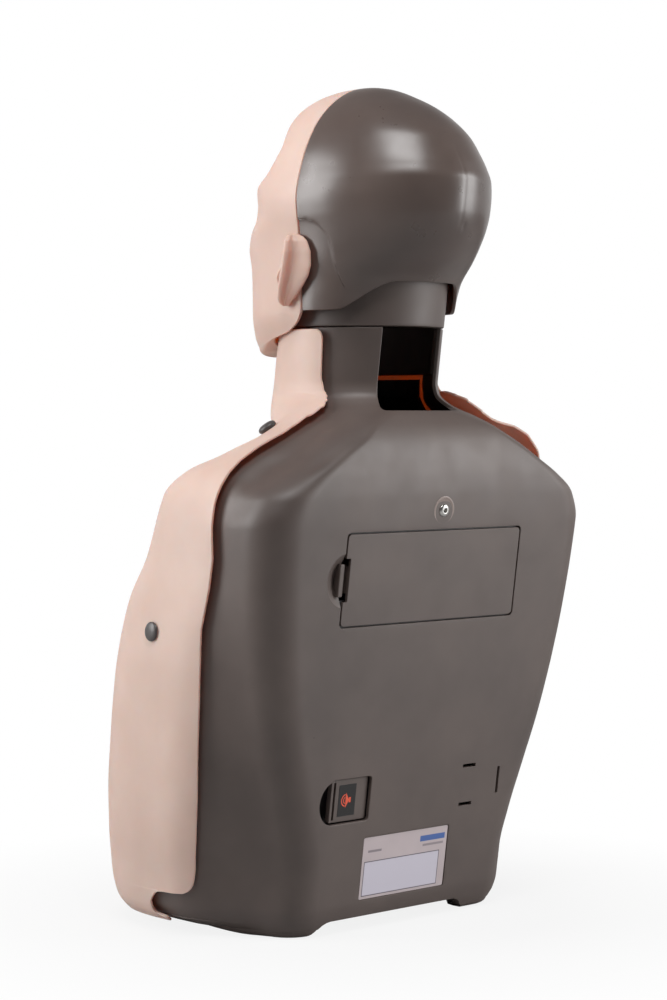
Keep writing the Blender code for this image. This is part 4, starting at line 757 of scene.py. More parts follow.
thumb_cut = cutter("thumb", disc(thumb_at, 0.0170, (0.85, 0.96), 62), 0.0137, 0.00073, surface=0.00009)
boolean(pocket_cut, thumb_cut, "UNION")
boolean(shell, pocket_cut)
print("openings cut:", len(tools) + 3)


# %% Back shell: the scooped finger recess beside the battery door
def dish(name, centre, half_u, half_v, depth, rows=14, steps=64):
    """A shallow dish as a cutting solid: a rounded bowl below the surface, open above it."""
    levels = []
    for t in np.linspace(0.04, 1.0, rows):
        r = math.sin(t * math.pi / 2)
        levels.append((half_u * r, half_v * r, -depth * (1 - r ** 1.5) if t < 1 else 0.00002))
    levels.append((half_u + 0.0006, half_v + 0.0006, 0.010))
    return solid(name, [
        [on_panel(centre[0] + wide * x, centre[1] + high * y, w) for x, y in circle(steps)] for wide, high, w in levels
    ], SHELL)


boolean(shell, plate(
    "boss", oblong((LATCH_U + 0.0078, LATCH_V), 0.0068, 0.0262, 0.003), -0.0088, -0.0012, SHELL,
), "UNION")
boolean(shell, dish("scoop", (LATCH_U - 0.0020, LATCH_V), 0.0190, 0.0200, 0.0082))
print("back shell so far:", len(shell.data.polygons), "faces")

# %% Back shell: the neck window, its side slot and the arch between the feet
WINDOW_HALF, WINDOW_BOTTOM = 0.0305, 0.3835
COLLAR_RADIUS = 0.0595


def neck_axis_y(z):
    """Where the neck's axis lies at a height."""
    return panel_y(z) - 0.102


def on_collar(side, z, w):
    """A place on the shell near the collar: side metres round the neck, at a height, w outwards."""
    part = torso_half(z)[0]
    angle = side / COLLAR_RADIUS
    around = np.arctan2(part[:, 0], part[:, 1] - neck_axis_y(z))
    radius = np.hypot(part[:, 0], part[:, 1] - neck_axis_y(z))
    r = float(np.interp(abs(angle), around, radius)) + w
    return Vector((r * math.sin(angle), neck_axis_y(z) + r * math.cos(angle), z))


side_half = COLLAR_RADIUS * math.asin(WINDOW_HALF / COLLAR_RADIUS)
window_high = NECK_TOP_Z + 0.02
window_outline = oblong(
    (0.0, (WINDOW_BOTTOM + window_high) / 2), side_half, (window_high - WINDOW_BOTTOM) / 2, 0.0030,
)


def window_rings():
    """Rings of the window's cutter with one fixed number of points, whatever their offset."""
    step, edge = 0.0015, 0.0007
    base = window_outline(0.0)
    counts = [max(1, int(math.dist(p, q) / step)) for p, q in zip(base, base[1:] + base[:1])]
    levels = [(0.0, -0.030), (0.0, -0.010), (0.0, -0.004)]
    levels += [(edge * (1 - math.cos(t)), -edge + edge * math.sin(t)) for t in np.linspace(0, math.pi / 2, 5)]
    levels += [(edge, 0.012)]
    rings = []
    for out, w in levels:
        points = window_outline(out)
        ring = []
        for p, q, count in zip(points, points[1:] + points[:1], counts):
            ring += [
                on_collar(p[0] + (q[0] - p[0]) * i / count, p[1] + (q[1] - p[1]) * i / count, w)
                for i in range(count)
            ]
        rings.append(ring)
    return rings


boolean(shell, solid("window", window_rings(), SHELL))
boolean(shell, plate(
    "side_slot", oblong((-0.0445, neck_axis_y(0.424) + 0.047), 0.0030, 0.0130, 0.0004), 0.411, 0.436, SHELL, 0.0003,
    place=flat_place,
))
ARCH_CENTRE, ARCH_HALF, ARCH_Z = 0.0085, 0.0695, 0.0098
ARCH_FOOT = ARCH_HALF + 0.0242
profile = [(ARCH_CENTRE - ARCH_FOOT, -ARCH_Z), (ARCH_CENTRE + ARCH_FOOT, -ARCH_Z)]
soft = [(ARCH_HALF + 0.0115, 0.0000), (ARCH_HALF + 0.0062, 0.0042), (ARCH_HALF + 0.0022, 0.0076),
        (ARCH_HALF - 0.0012, 0.0092), (ARCH_HALF - 0.0050, ARCH_Z)]
for sign in (1, -1):
    profile += [(ARCH_CENTRE + sign * x, z) for x, z in (soft if sign > 0 else soft[::-1])]
arch = solid("arch", [[(x, y, z) for x, z in profile] for y in (panel_y(0.0) - 0.060, 0.14)], SHELL)
boolean(shell, arch)
settle(shell)
stand_in(shell, "torso", "shell_plastic", "back_shell")

# %% [markdown]
# **The neck tube** stands in the collar and carries the head on a steel pin. It is a plain
# moulded tube: wide above the collar, narrower where it plugs into it.

# %% Neck tube
PIVOT = Vector((0.0, PANEL_Y - 0.086, 0.465))
TUBE_RADIUS, PLUG_RADIUS, TUBE_WALL = 0.0600, 0.0560, 0.0030


def neck_ring(z, radius, count=96):
    """A ring round the neck's axis at a height."""
    return [(radius * y, neck_axis_y(z) + radius * x, z) for x, y in circle(count)]


tube_levels = [(z, PLUG_RADIUS) for z in (0.4118, 0.4130, 0.4250, 0.4380, 0.4445, 0.4450)]
tube_levels += [(0.44545, 0.0572), (0.44560, 0.0592), (0.44595, 0.05982), (0.4468, TUBE_RADIUS)]
tube_levels += [(z, TUBE_RADIUS) for z in (0.4480, 0.4540, 0.4600, 0.4700, 0.4790, 0.4860, 0.4872)]
outer = np.array([neck_ring(z, r) for z, r in tube_levels])
inner = np.array([
    neck_ring(z, min(r, PLUG_RADIUS + 0.004 * smooth(z, 0.449, 0.456)) - TUBE_WALL) for z, r in tube_levels
])
neck = moulding("neck_tube_moulding", outer, inner, SHELL, bulge=0.3, around=True)
boolean(neck, plate(
    "rear_gap", oblong((0.0, HEAD_Y + 0.06), WINDOW_HALF + 0.004, 0.06, 0.0004), 0.38, NECK_TOP_Z + 0.0004,
    SHELL, 0.0004, place=flat_place,
))
boolean(neck, plate(
    "pin_hole", disc((PIVOT.y, PIVOT.z), 0.0041, steps=24), -0.09, 0.09, SHELL, 0.0001,
    place=lambda u, v, w: Vector((w, u, v)),
))
settle(neck)
stand_in(neck, "torso", "shell_plastic", "neck_tube")

# %% [markdown]
# **The skull** is a thin glossy moulding. Its lower edge runs level at the sides, rises in an
# S-curve behind the ears and is level again at the nape. A shallow step frames each ear, with a
# small ejector dimple low on the back and a faint parting line down the middle.

# %% Skull
SKIRT_Z, NAPE_Z, SKULL_WALL = 0.4566, 0.4775, 0.0026
EAR_STEP = np.array(((0.5236, 0.000), (0.5232, 0.008), (0.5212, 0.0160), (0.5165, 0.0225), (0.5100, 0.0270),
                     (0.5020, 0.0292), (0.4930, 0.0300), (0.4840, 0.0312), (0.4760, 0.0330), (0.4500, 0.0400)))


def skirt(angle):
    """Lower edge of the skull by the angle from the nape, in degrees."""
    return NAPE_Z + (SKIRT_Z - NAPE_Z) * float(smooth(abs(angle), 24.0, 62.0))


def skull_point(angle, z):
    """A place on the smooth skull, by the angle from the nape in degrees and the height."""
    a = math.radians(angle)
    wide, back = station(HEAD, z, 1), station(HEAD, z, 2)
    return np.array((wide * math.sin(a), HEAD_Y + back * math.cos(a), z))


def skull_relief(p):
    """Depth of the moulded details below the smooth skull."""
    behind = p[1] - HEAD_Y
    edge = float(np.interp(p[2], EAR_STEP[::-1, 0], EAR_STEP[::-1, 1]))
    edge = edge if p[2] < 0.5236 else -0.01
    fade = 1.0 - float(smooth(0.490 - p[2], 0.0, 0.018)) * float(smooth(behind, 0.012, 0.030))
    step = 0.0009 * (1.0 - float(smooth(behind, edge - 0.0006, edge + 0.0006))) * fade
    step *= 1.0 - float(smooth(p[2], 0.5226, 0.5238))
    crease = 0.00022 * math.exp(-((p[0] - 0.0042) / 0.0011) ** 2) * float(smooth(p[2], 0.505, 0.525))
    crease *= 1.0 - float(smooth(p[2], 0.566, 0.580))
    dimple = 0.0007 * math.exp(-((p[0] + 0.0002) / 0.0016) ** 2 - ((p[2] - 0.5168) / 0.0026) ** 2)
    return step + crease + dimple


SKULL_ROWS, SKULL_COLUMNS = 130, 84
rows = []
for r in range(SKULL_ROWS):
    row = []
    for c in range(-SKULL_COLUMNS, SKULL_COLUMNS + 1):
        angle = 90.0 * c / SKULL_COLUMNS
        low = skirt(angle) + 0.0007
        t = r / (SKULL_ROWS - 1)
        share = 0.45 * t + 0.55 * math.sin(math.pi / 2 * t)
        p = skull_point(angle, low + (HEAD_TOP_Z - 0.0004 - low) * share)
        if r == SKULL_ROWS - 1:
            p = np.array((0.0, HEAD_Y, HEAD_TOP_Z))
        row.append(p)
    rows.append(row)
smooth_skull = np.array(rows)
skull_normals = grid_normals(smooth_skull, (0, 1, 0))
skull_normals[-1] = (0.0, 0.0, 1.0)
relief = np.array([[skull_relief(p) for p in row] for row in smooth_skull])
relief[-1] = 0.0
outer = smooth_skull - skull_normals * relief[:, :, None]
inner = smooth_skull - skull_normals * (SKULL_WALL + relief[:, :, None])
for face_grid in (outer, inner):
    face_grid[:, 0, 1] = HEAD_Y + 0.0004
    face_grid[:, -1, 1] = HEAD_Y + 0.0004
inner[0, :, 2] = outer[0, :, 2]
skull = moulding("skull_moulding", outer, inner, SKULL, bulge=0.16, steps=4, pole=True)


def tube(name, path, radii, mat, sides=10):
    """A round bar through points, with its own radius at each."""
    path = [Vector(p) for p in path]
    rings = []
    for i, (p, radius) in enumerate(zip(path, radii)):
        way = (path[min(i + 1, len(path) - 1)] - path[max(i - 1, 0)]).normalized()
        side = way.cross(Vector((0, 0, 1)) if abs(way.z) < 0.9 else Vector((1, 0, 0))).normalized()
        up = side.cross(way)
        rings.append([p + side * radius * x + up * radius * y for x, y in circle(sides)])
    return solid(name, rings, mat)


def step_line(sign):
    """Points on the skull along the edge of its ear recess."""
    lines = []
    for z, behind in EAR_STEP:
        wide, back = station(HEAD, z, 1), station(HEAD, z, 2)
        lines.append((sign * wide * math.sqrt(max(1 - (behind / back) ** 2, 0.0)), HEAD_Y + behind, z))
    points = np.array(lines)
    run = along(points)
    even = np.linspace(0.0, 0.80 * run[-1], 60)
    return np.stack([np.interp(even, run, points[:, k]) for k in range(3)], 1)


for sign in (1, -1):
    line = step_line(sign)
    fade = np.clip((len(line) - 1 - np.arange(len(line))) / 12.0, 0.25, 1.0)
    boolean(skull, tube("ear_line", line, 0.00055 * fade, SKULL))
settle(skull)
stand_in(skull, "head", "shell_plastic", "head_shell")

# %% [markdown]
# **The battery door** is a flat plate that swings on two tabs at its right edge. At its left edge
# a springy latch tongue stands in a notch, and a finger pulls it sideways out of the recess.

# %% Battery door with its latch
DOOR_WALL, HINGE_U = 0.0024, DOOR_CENTRE[0] - DOOR_HALF[0]
door = plate(
    "battery_door_moulding", oblong(DOOR_CENTRE, DOOR_HALF[0] - 0.0002, DOOR_HALF[1] - 0.0002, 0.0030),
    -DOOR_WALL, 0.0, SHELL, edge=0.00035,
)
boolean(door, cutter("notch", oblong((LATCH_U + 0.0006, LATCH_V), 0.0050, 0.0159, 0.0008), THROUGH, 0.0003))
latch = [
    plate("tongue", oblong((LATCH_U + 0.0029, LATCH_V), 0.0021, 0.0119, 0.0009), -0.0066, -0.0003, SHELL, 0.0007),
    plate("bridge", oblong((LATCH_U - 0.0018, LATCH_V), 0.0056, 0.0106, 0.0004), -0.0073, -0.0057, SHELL, 0.0003),
    plate("riser", oblong((LATCH_U - 0.0059, LATCH_V), 0.0009, 0.0098, 0.0003), -0.0065, -0.0012, SHELL, 0.0002),
]
for v in (-0.018, 0.018):
    latch += [
        plate("tab", oblong((HINGE_U + 0.0008, v), 0.0042, 0.0060, 0.0006), -0.0050, -0.0034, SHELL, 0.0002),
        plate("arm", oblong((HINGE_U + 0.0030, v), 0.0014, 0.0052, 0.0004), -0.0046, -0.0010, SHELL, 0.0002),
    ]
for clip in latch:
    boolean(door, clip, "UNION")
settle(door)
stand_in(door, "door", "shell_plastic", "battery_door")

# %% [markdown]
# **The click cover** sits low in its pocket: a dark plate with a thin raised rib and a slot
# beside the thumb recess, and a black printed square with a small orange loudspeaker sign.

# %% Click cover and its sign
COVER_TOP = -0.0030
cover_half = (SWITCH_HALF[0] - 0.0009, SWITCH_HALF[1] - 0.0009)
cover = plate(
    "click_cover_moulding", oblong(SWITCH_CENTRE, cover_half[0], cover_half[1], 0.0018), -0.0056, COVER_TOP, SHELL,
)
rib_u = SWITCH_CENTRE[0] + cover_half[0] - 0.0014
boolean(cover, plate(
    "rib", oblong((rib_u, SWITCH_CENTRE[1]), 0.00125, cover_half[1] - 0.0005, 0.0008), -0.0050, COVER_TOP + 0.0016,
    SHELL, 0.0005,
), "UNION")
boolean(cover, cutter(
    "rib_slot", oblong((rib_u - 0.0032, SWITCH_CENTRE[1]), 0.0014, cover_half[1] - 0.0017, 0.0005), THROUGH, 0.0002,
    surface=COVER_TOP,
))
settle(cover)
stand_in(cover, "cover", "dark_plastic", "click_cover")
SIGN_CENTRE = (SWITCH_CENTRE[0] + 0.0010, SWITCH_CENTRE[1])
SIGN_HALF = (0.0085, 0.0118)


# %% The printed square: a black film with the sign in its colour
PRINT_SOFT = 0.12


def panel_mm(tree, where, centre):
    """Coordinates on the panel in millimetres from a centre, as sockets named u and v."""
    turned = add(
        tree, "ShaderNodeMapping", vector_type="TEXTURE", Vector=where, Location=tuple(centre),
        Rotation=(math.radians(90.0) - BACK_LEAN, 0.0, 0.0), Scale=(0.001, 0.001, 0.001),
    )
    parts = add(tree, "ShaderNodeSeparateXYZ", Vector=turned, out=None)
    return {"u": parts["X"], "v": parts["Y"]}


def reckon(tree, given, rows):
    """Reckons a table of (name, operation, inputs) with nodes, and gives the last row's socket.

    An input is a number or the name of a row above. BAND is 1 between two limits, with soft ends,
    and INSIDE is 1 below zero and 0 above it."""
    for name, operation, *inputs in rows:
        inputs = [given[i] if isinstance(i, str) else i for i in inputs]
        if operation == "BAND":
            value, low, high = inputs
            up = add(tree, "ShaderNodeMapRange", value, low - PRINT_SOFT, low + PRINT_SOFT, 0.0, 1.0)
            down = add(tree, "ShaderNodeMapRange", value, high - PRINT_SOFT, high + PRINT_SOFT, 1.0, 0.0)
            given[name] = add(tree, "ShaderNodeMath", up, down, operation="MULTIPLY")
        elif operation == "INSIDE":
            given[name] = add(tree, "ShaderNodeMapRange", inputs[0], -PRINT_SOFT, PRINT_SOFT, 1.0, 0.0)
        else:
            given[name] = add(tree, "ShaderNodeMath", *inputs, operation=operation)
    return given[name]


# A cone whose mouth is at the right, a magnet box behind it, and two arcs ahead of it.
SIGN_ROWS = (
    ("size", "ABSOLUTE", "v"), ("flare", "MULTIPLY", "u", 1.15), ("flare", "ADD", 2.0, "flare"),
    ("flare", "MULTIPLY", "flare", 1.45), ("beside", "SUBTRACT", "size", "flare"),
    ("cone", "BAND", "u", -1.9, 1.7), ("in cone", "BAND", "beside", -20.0, 0.0),
    ("cone", "MULTIPLY", "cone", "in cone"),
    ("magnet", "BAND", "u", -3.4, -1.5), ("in magnet", "BAND", "size", -1.0, 1.9),
    ("magnet", "MULTIPLY", "magnet", "in magnet"),
    ("across", "SUBTRACT", "u", 1.4), ("across", "MULTIPLY", "across", "across"), ("up", "MULTIPLY", "v", "v"),
    ("radius", "ADD", "across", "up"), ("radius", "SQRT", "radius"),
    ("near arc", "BAND", "radius", 2.1, 2.8), ("far arc", "BAND", "radius", 4.0, 4.8),
    ("arcs", "MAXIMUM", "near arc", "far arc"), ("ahead", "BAND", "u", 2.2, 20.0),
    ("arcs", "MULTIPLY", "arcs", "ahead"),
    ("mark", "MAXIMUM", "cone", "magnet"), ("mark", "MAXIMUM", "mark", "arcs"), ("mark", "MINIMUM", "mark", 1.0),
)


def make_sign():
    """Black film printed with the sign, drawn from distances on the panel."""
    mat, tree, shader, where, film = new_material(
        "black printed film", (2.0, 2.0, 0.55), Roughness=0.34, IOR=1.5
    )
    spots = panel_mm(tree, where, on_panel(SIGN_CENTRE[0] - 0.0004, SIGN_CENTRE[1]))
    mark = reckon(tree, spots, SIGN_ROWS)
    black = add(tree, "ShaderNodeValToRGB", film, stops=((0.3, "#121010"), (0.7, "#191616")))
    tone = add(tree, "ShaderNodeMix", data_type="RGBA", Factor=mark, i6=black, i7=linear("#e2583c"), out="Result")
    dress(tree, shader, tone, None, (film, 0.02, 0.2))
    return mat


SIGN_FILM = make_sign()
sign_square = plate(
    "click_sign_film", oblong(SIGN_CENTRE, SIGN_HALF[0], SIGN_HALF[1], 0.0004),
    COVER_TOP + 0.00004, COVER_TOP + 0.00024, SIGN_FILM, edge=0.00005, steps=2,
)
stand_in(sign_square, "cover", "cone_paper", "click_icon")

# %% [markdown]
# **The label** is a pale film in a shallow well. The lower part is a lighter writing field with
# a dark outline. Above it are a few plain printed bars.


# %% Label film
# Each printed field in millimetres from the label's middle: its place, its half sizes, its colour.
LABEL_FIELDS = (
    (2.4, -8.2, 39.6, 13.3, "#5d5660"), (2.4, -8.2, 38.9, 12.6, "#c6c1cd"), (-28.5, 16.0, 13.2, 2.2, "#3f5f9e"),
    (-29.5, 10.8, 11.0, 0.9, "#8f8589"), (32.0, 12.6, 7.0, 0.9, "#857b80"),
)


def make_label():
    """Pale film with its printed fields laid one on the other."""
    mat, tree, shader, where, paper, cloud = new_material(
        "printed polyester label", (1.5, 3.0, 0.55), (30.0, 2.0, 0.55), Roughness=0.40, IOR=1.58
    )
    spots = panel_mm(tree, where, on_panel(*LABEL_CENTRE))
    colour = add(tree, "ShaderNodeValToRGB", cloud, stops=((0.3, "#b6a9ab"), (0.7, "#beb1b3")))
    for u, v, half_u, half_v, tone in LABEL_FIELDS:
        mark = reckon(tree, spots, (
            ("a", "SUBTRACT", "u", u), ("a", "ABSOLUTE", "a"), ("a", "SUBTRACT", "a", half_u),
            ("b", "SUBTRACT", "v", v), ("b", "ABSOLUTE", "b"), ("b", "SUBTRACT", "b", half_v),
            ("past", "MAXIMUM", "a", "b"), ("field", "INSIDE", "past"),
        ))
        colour = add(tree, "ShaderNodeMix", data_type="RGBA", Factor=mark, i6=colour, i7=linear(tone), out="Result")
    dress(tree, shader, colour, None, (paper, 0.01, 0.3))
    return mat


LABEL_FILM = make_label()
label = plate(
    "label_film", oblong(LABEL_CENTRE, LABEL_HALF[0], LABEL_HALF[1], 0.0014), -0.00085, -0.00055, LABEL_FILM, 0.0001, 2,
)
stand_in(label, "torso", "label_film", "label_plate")

# %% [markdown]
# **Screw and ring.** A steel screw in a plastic ring holds the two halves together. Each is a
# turned profile: a list of radius and height, swept round its axis. So are the snaps further on.


# %% Screw and ring
def turned(name, profile, mat, place, steps=64):
    """A body turned from a closed profile of (radius, height)."""
    rings = []
    bm = bmesh.new()
    for r, h in profile:
        if r < 1e-7:
            rings.append([bm.verts.new(place(0.0, 0.0, h))])
        else:
            rings.append([bm.verts.new(place(r * x, r * y, h)) for x, y in circle(steps)])
    pairs = list(zip(rings[:-1], rings[1:]))
    if profile[0][0] > 1e-7:
        pairs.append((rings[-1], rings[0]))
    for low, high in pairs:
        for i in range(steps):
            k = (i + 1) % steps
            corners = [low[i % len(low)], low[k % len(low)], high[k % len(high)], high[i % len(high)]]
            distinct = [v for n, v in enumerate(corners) if v not in corners[:n]]
            if len(distinct) > 2:
                bm.faces.new(distinct)
    return finish_mesh(name, bm, mat)


def at_screw(u, v, w):
    """A place near the screw's middle."""
    return on_panel(SCREW_SPOT[0] + u, SCREW_SPOT[1] + v, w)


ring_profile = [(0.0054, -0.0010), (0.0104, -0.0010), (0.0106, -0.0008), (0.0106, -0.0003), (0.0104, -0.0001),
                (0.0098, 0.0000), (0.0090, -0.0001), (0.0082, -0.0004), (0.0060, -0.0005), (0.0055, -0.0006)]
cap_ring = turned("screw_ring", ring_profile, CAP, at_screw)
stand_in(cap_ring, "torso", "cap_plastic", "screw_cap")
screw_profile = [(0.0, -0.0180), (0.0012, -0.0174), (0.0016, -0.0160), (0.0016, -0.0010), (0.0046, -0.0010),
                 (0.0048, -0.0008), (0.0048, -0.0001), (0.0046, 0.0004), (0.0040, 0.0009), (0.0032, 0.0012),
                 (0.0022, 0.0014), (0.0018, 0.0013), (0.0017, 0.0010), (0.0016, -0.0006), (0.0, -0.0009)]
screw = turned("button_head_screw", screw_profile, ZINC, at_screw)
stand_in(screw, "torso", "steel", "shell_screw")

# %% [markdown]
# **The chest skin** is one sheet of soft PVC, buttoned over the shell. It is drawn on the body's
# own surface: a fine table of surface points and normals is made once, and every point of the
# skin is looked up in it by its height and by its distance round the body. The free edge is a
# table of its own, because it steps round the neck and runs along the shoulder.

# %% The body's surface as a table of points and normals
LEVEL_STEP = 0.001
LEVELS = np.arange(0.005, 0.4605, LEVEL_STEP)
SHARES = np.linspace(0.0, 1.0, 500)
surface, totals, aheads = [], [], []
for z in LEVELS:
    part = torso_half(z)[0]
    run = along(part)
    row = np.stack([np.interp(SHARES * run[-1], run, part[:, k]) for k in range(2)], 1)
    surface.append(np.concatenate([row, np.full((len(row), 1), z)], 1))
    totals.append(run[-1])
    aheads.append(panel_y(z) - row[:, 1])
surface, totals, aheads = np.array(surface), np.array(totals), np.array(aheads)
surface_normals = grid_normals(surface, (1, 0, 0))
surface_normals[:, (0, -1), 0] = 0.0
surface_normals /= np.linalg.norm(surface_normals, axis=2, keepdims=True)


def look_up(table, z, share):
    """A table over height and share, read between its entries."""
    i = np.clip((z - LEVELS[0]) / LEVEL_STEP, 0, len(LEVELS) - 1.001)
    j = np.clip(share * (len(SHARES) - 1), 0, len(SHARES) - 1.001)
    i0, j0 = i.astype(int), j.astype(int)
    a, b = i - i0, j - j0
    if table.ndim == 3:
        a, b = a[..., None], b[..., None]
    return (
        table[i0, j0] * (1 - a) * (1 - b) + table[i0 + 1, j0] * a * (1 - b)
        + table[i0, j0 + 1] * (1 - a) * b + table[i0 + 1, j0 + 1] * a * b
    )


def share_at(z, ahead):
    """Share of the half outline at which the body lies this far ahead of the panel."""
    i = int(round((min(max(z, LEVELS[0]), LEVELS[-1]) - LEVELS[0]) / LEVEL_STEP))
    rising = np.maximum.accumulate(aheads[i] + SHARES * 1e-9)
    return float(np.interp(ahead, rising, SHARES))


print("body table:", surface.shape)

# %% Chest skin: its free edge and its rows
# Height and the free edge's place ahead of the panel.
SKIN_EDGE = np.array((
    (0.0080, 0.0925), (0.0124, 0.0926), (0.0138, 0.0933), (0.0147, 0.0952), (0.0151, 0.0990), (0.0156, 0.1030),
    (0.0166, 0.1053), (0.0191, 0.1064), (0.0238, 0.1062), (0.0281, 0.1026), (0.0314, 0.0985), (0.0326, 0.0950),
    (0.0332, 0.0900), (0.0334, 0.0804), (0.0341, 0.0712), (0.0356, 0.0680), (0.0380, 0.0657), (0.0407, 0.0643),
    (0.0455, 0.0631), (0.0532, 0.0619),
    (0.0757, 0.0601), (0.1054, 0.0586), (0.1420, 0.0584), (0.1783, 0.0579), (0.2069, 0.0583),
    (0.2281, 0.0592), (0.2424, 0.0573), (0.2566, 0.0554), (0.2780, 0.0543), (0.3053, 0.0589),
    (0.3154, 0.0612), (0.3284, 0.0622), (0.3455, 0.0613), (0.3578, 0.0595), (0.3699, 0.0600),
    (0.3757, 0.0612), (0.3810, 0.0632), (0.3860, 0.0677), (0.3909, 0.0728), (0.3975, 0.0785),
    (0.4060, 0.0818), (0.4171, 0.0828), (0.4281, 0.0835), (0.4440, 0.0845),
))
SKIN_TOP, SKIN_LOW = 0.4430, 0.0122
CORNER, THROAT_DIP = 0.0075, 0.024
SKIN_IN, SKIN_OUT = 0.0024, 0.0049


def corner_drop(run, radius):
    """How much a corner of this radius takes from the edge at a run from it."""
    return radius - np.sqrt(np.maximum(radius ** 2 - np.maximum(radius - run, 0.0) ** 2, 0.0))


COLUMNS, ROWS = 96, 250
u = np.linspace(0.0, 1.0, COLUMNS)
column_share = 0.22 * u + 0.78 * u ** 1.9
# The rows are closer where the free edge turns: in the notch, at the corner and at the shoulder.
t = np.linspace(SKIN_LOW, SKIN_TOP, 4000)
density = 1.0 + 5.0 * np.exp(-((t - 0.0145) / 0.0015) ** 2) + 14.0 * np.exp(-((t - 0.0333) / 0.0012) ** 2)
density += 1.5 * np.exp(-((t - 0.030) / 0.012) ** 2) + 1.0 * np.exp(-((t - 0.372) / 0.03) ** 2)
density += 3.0 * np.exp(-((t - SKIN_TOP) / 0.006) ** 2)
gathered = np.concatenate([[0.0], np.cumsum((density[1:] + density[:-1]) / 2)])
row_z = np.interp(np.linspace(0, gathered[-1], ROWS), gathered, t)
# The top edge has a rounded corner at each side and dips at the throat.
from_edge = column_share * 0.16
side = 1.0 - column_share
dip = corner_drop(from_edge, CORNER) + THROAT_DIP * (1 - np.minimum(side / 0.40, 1.0) ** 2)
near_top = smooth(row_z, 0.396, SKIN_TOP)
Z = row_z[:, None] - dip[None, :] * near_top[:, None]
print("skin rows and columns:", Z.shape)

# %% Chest skin: soft forms, lifted edges and folds
def hill(a, b, at_a, at_b, width_a, width_b):
    """A smooth hill, 1 high at its middle."""
    return np.exp(-((a - at_a) / width_a) ** 2 - ((b - at_b) / width_b) ** 2)


def chest_forms(x, z, front):
    """Outward relief of the front, kept to where the surface faces forward."""
    x = np.abs(x)
    pectoral = 0.0060 * hill(x, z, 0.066, 0.288, 0.040, 0.026)
    under = -0.0022 * hill(x, z, 0.062, 0.250, 0.045, 0.008)
    breastbone = -0.0026 * hill(x, z, 0.0, 0.285, 0.011, 0.042)
    collar = 0.0024 * np.exp(-((z - 0.3500 - 0.10 * x) / 0.0055) ** 2)
    collar *= smooth(x, 0.012, 0.03) * (1 - smooth(x, 0.08, 0.11))
    notch = -0.0026 * hill(x, z, 0.0, 0.352, 0.010, 0.010)
    arch = -0.0016 * np.exp(-((z - 0.215 + 0.55 * (x - 0.03)) / 0.010) ** 2)
    arch *= smooth(x, 0.008, 0.03) * (1 - smooth(x, 0.085, 0.11))
    navel_line = -0.0014 * hill(x, z, 0.0, 0.130, 0.008, 0.070)
    return (pectoral + under + breastbone + collar + notch + arch + navel_line) * front


# How far the free edge stands off the shell, by height, at the left and at the right shoulder.
LIFT_LEFT = np.array((
    (0.03, 0.0002), (0.10, 0.0010), (0.20, 0.0008), (0.28, 0.0016), (0.33, 0.0016), (0.345, 0.0022),
    (0.358, 0.0026), (0.3635, 0.0018), (0.372, 0.0026), (0.384, 0.0020), (0.395, 0.0006), (0.44, 0.0004),
))
LIFT_RIGHT = np.array((
    (0.03, 0.0006), (0.20, 0.0010), (0.322, 0.0008), (0.330, 0.0030), (0.340, 0.0085),
    (0.350, 0.0105), (0.358, 0.0090), (0.3645, 0.0055), (0.3695, 0.0036), (0.3750, 0.0046),
    (0.382, 0.0060), (0.389, 0.0052), (0.396, 0.0024), (0.404, 0.0010), (0.44, 0.0004),
))
LIFT_REACH = 0.022
# The skin is thicker under each shoulder snap.
BOSS_Z, BOSS_AHEAD, BOSS_HIGH, BOSS_RADIUS = 0.3665, 0.0800, 0.0022, 0.0085


def soft_noise(points, size, seed):
    """Smooth noise between -1 and 1, with blobs of this size in metres."""
    flat = points.reshape(-1, 3) / size + seed
    return np.array([noise.noise(Vector(p)) for p in flat]).reshape(points.shape[:2])


def skin_half(sign):
    """Outer and inner face of one half. The right shoulder's edge lies further back and stands up."""
    drawn_back = (0.0 if sign > 0 else 0.009) * smooth(Z, 0.322, 0.345) * (1 - smooth(Z, 0.378, 0.396))
    edge = np.interp(Z, SKIN_EDGE[:, 0], SKIN_EDGE[:, 1]) - drawn_back
    start = np.array([[share_at(z, a) for z, a in zip(*row)] for row in zip(Z, edge)])
    share = start + (1.0 - start) * column_share[None, :]
    points = look_up(surface, Z, share)
    n = look_up(surface_normals, Z, share)
    n = n / np.linalg.norm(n, axis=2, keepdims=True)
    ahead = panel_y(Z) - points[:, :, 1]
    edge_run = (share - start) * np.interp(Z, LEVELS, totals)
    table = LIFT_LEFT if sign > 0 else LIFT_RIGHT
    lift = np.interp(Z, table[:, 0], table[:, 1]) * np.exp(-(edge_run / LIFT_REACH) ** 2)
    mirrored = points * (sign, 1, 1)
    front = smooth(-n[:, :, 1], 0.15, 0.75)
    forms = chest_forms(points[:, :, 0], Z, front)
    wobble = 0.0006 * soft_noise(mirrored, 0.060, 3.7) + 0.0002 * soft_noise(mirrored, 0.022, 9.1)
    wobble *= smooth(edge_run, 0.0, 0.02) * 0.7 + 0.3
    near_floor = smooth(Z, 0.012, 0.030)
    out = SKIN_OUT + lift + forms + wobble * near_floor
    wall = (SKIN_OUT - SKIN_IN) * (0.80 + 0.20 * smooth(edge_run, 0.0, 0.012))
    reach = np.hypot(Z - BOSS_Z, ahead - BOSS_AHEAD)
    wall = wall + BOSS_HIGH * np.exp(-(reach / BOSS_RADIUS) ** 4)
    points = points + np.array((0.0, 0.0, 0.0 if sign > 0 else 0.25)) * lift[:, :, None]
    return tuple((points + n * off[:, :, None]) * (sign, 1, 1) for off in (out, out - wall))


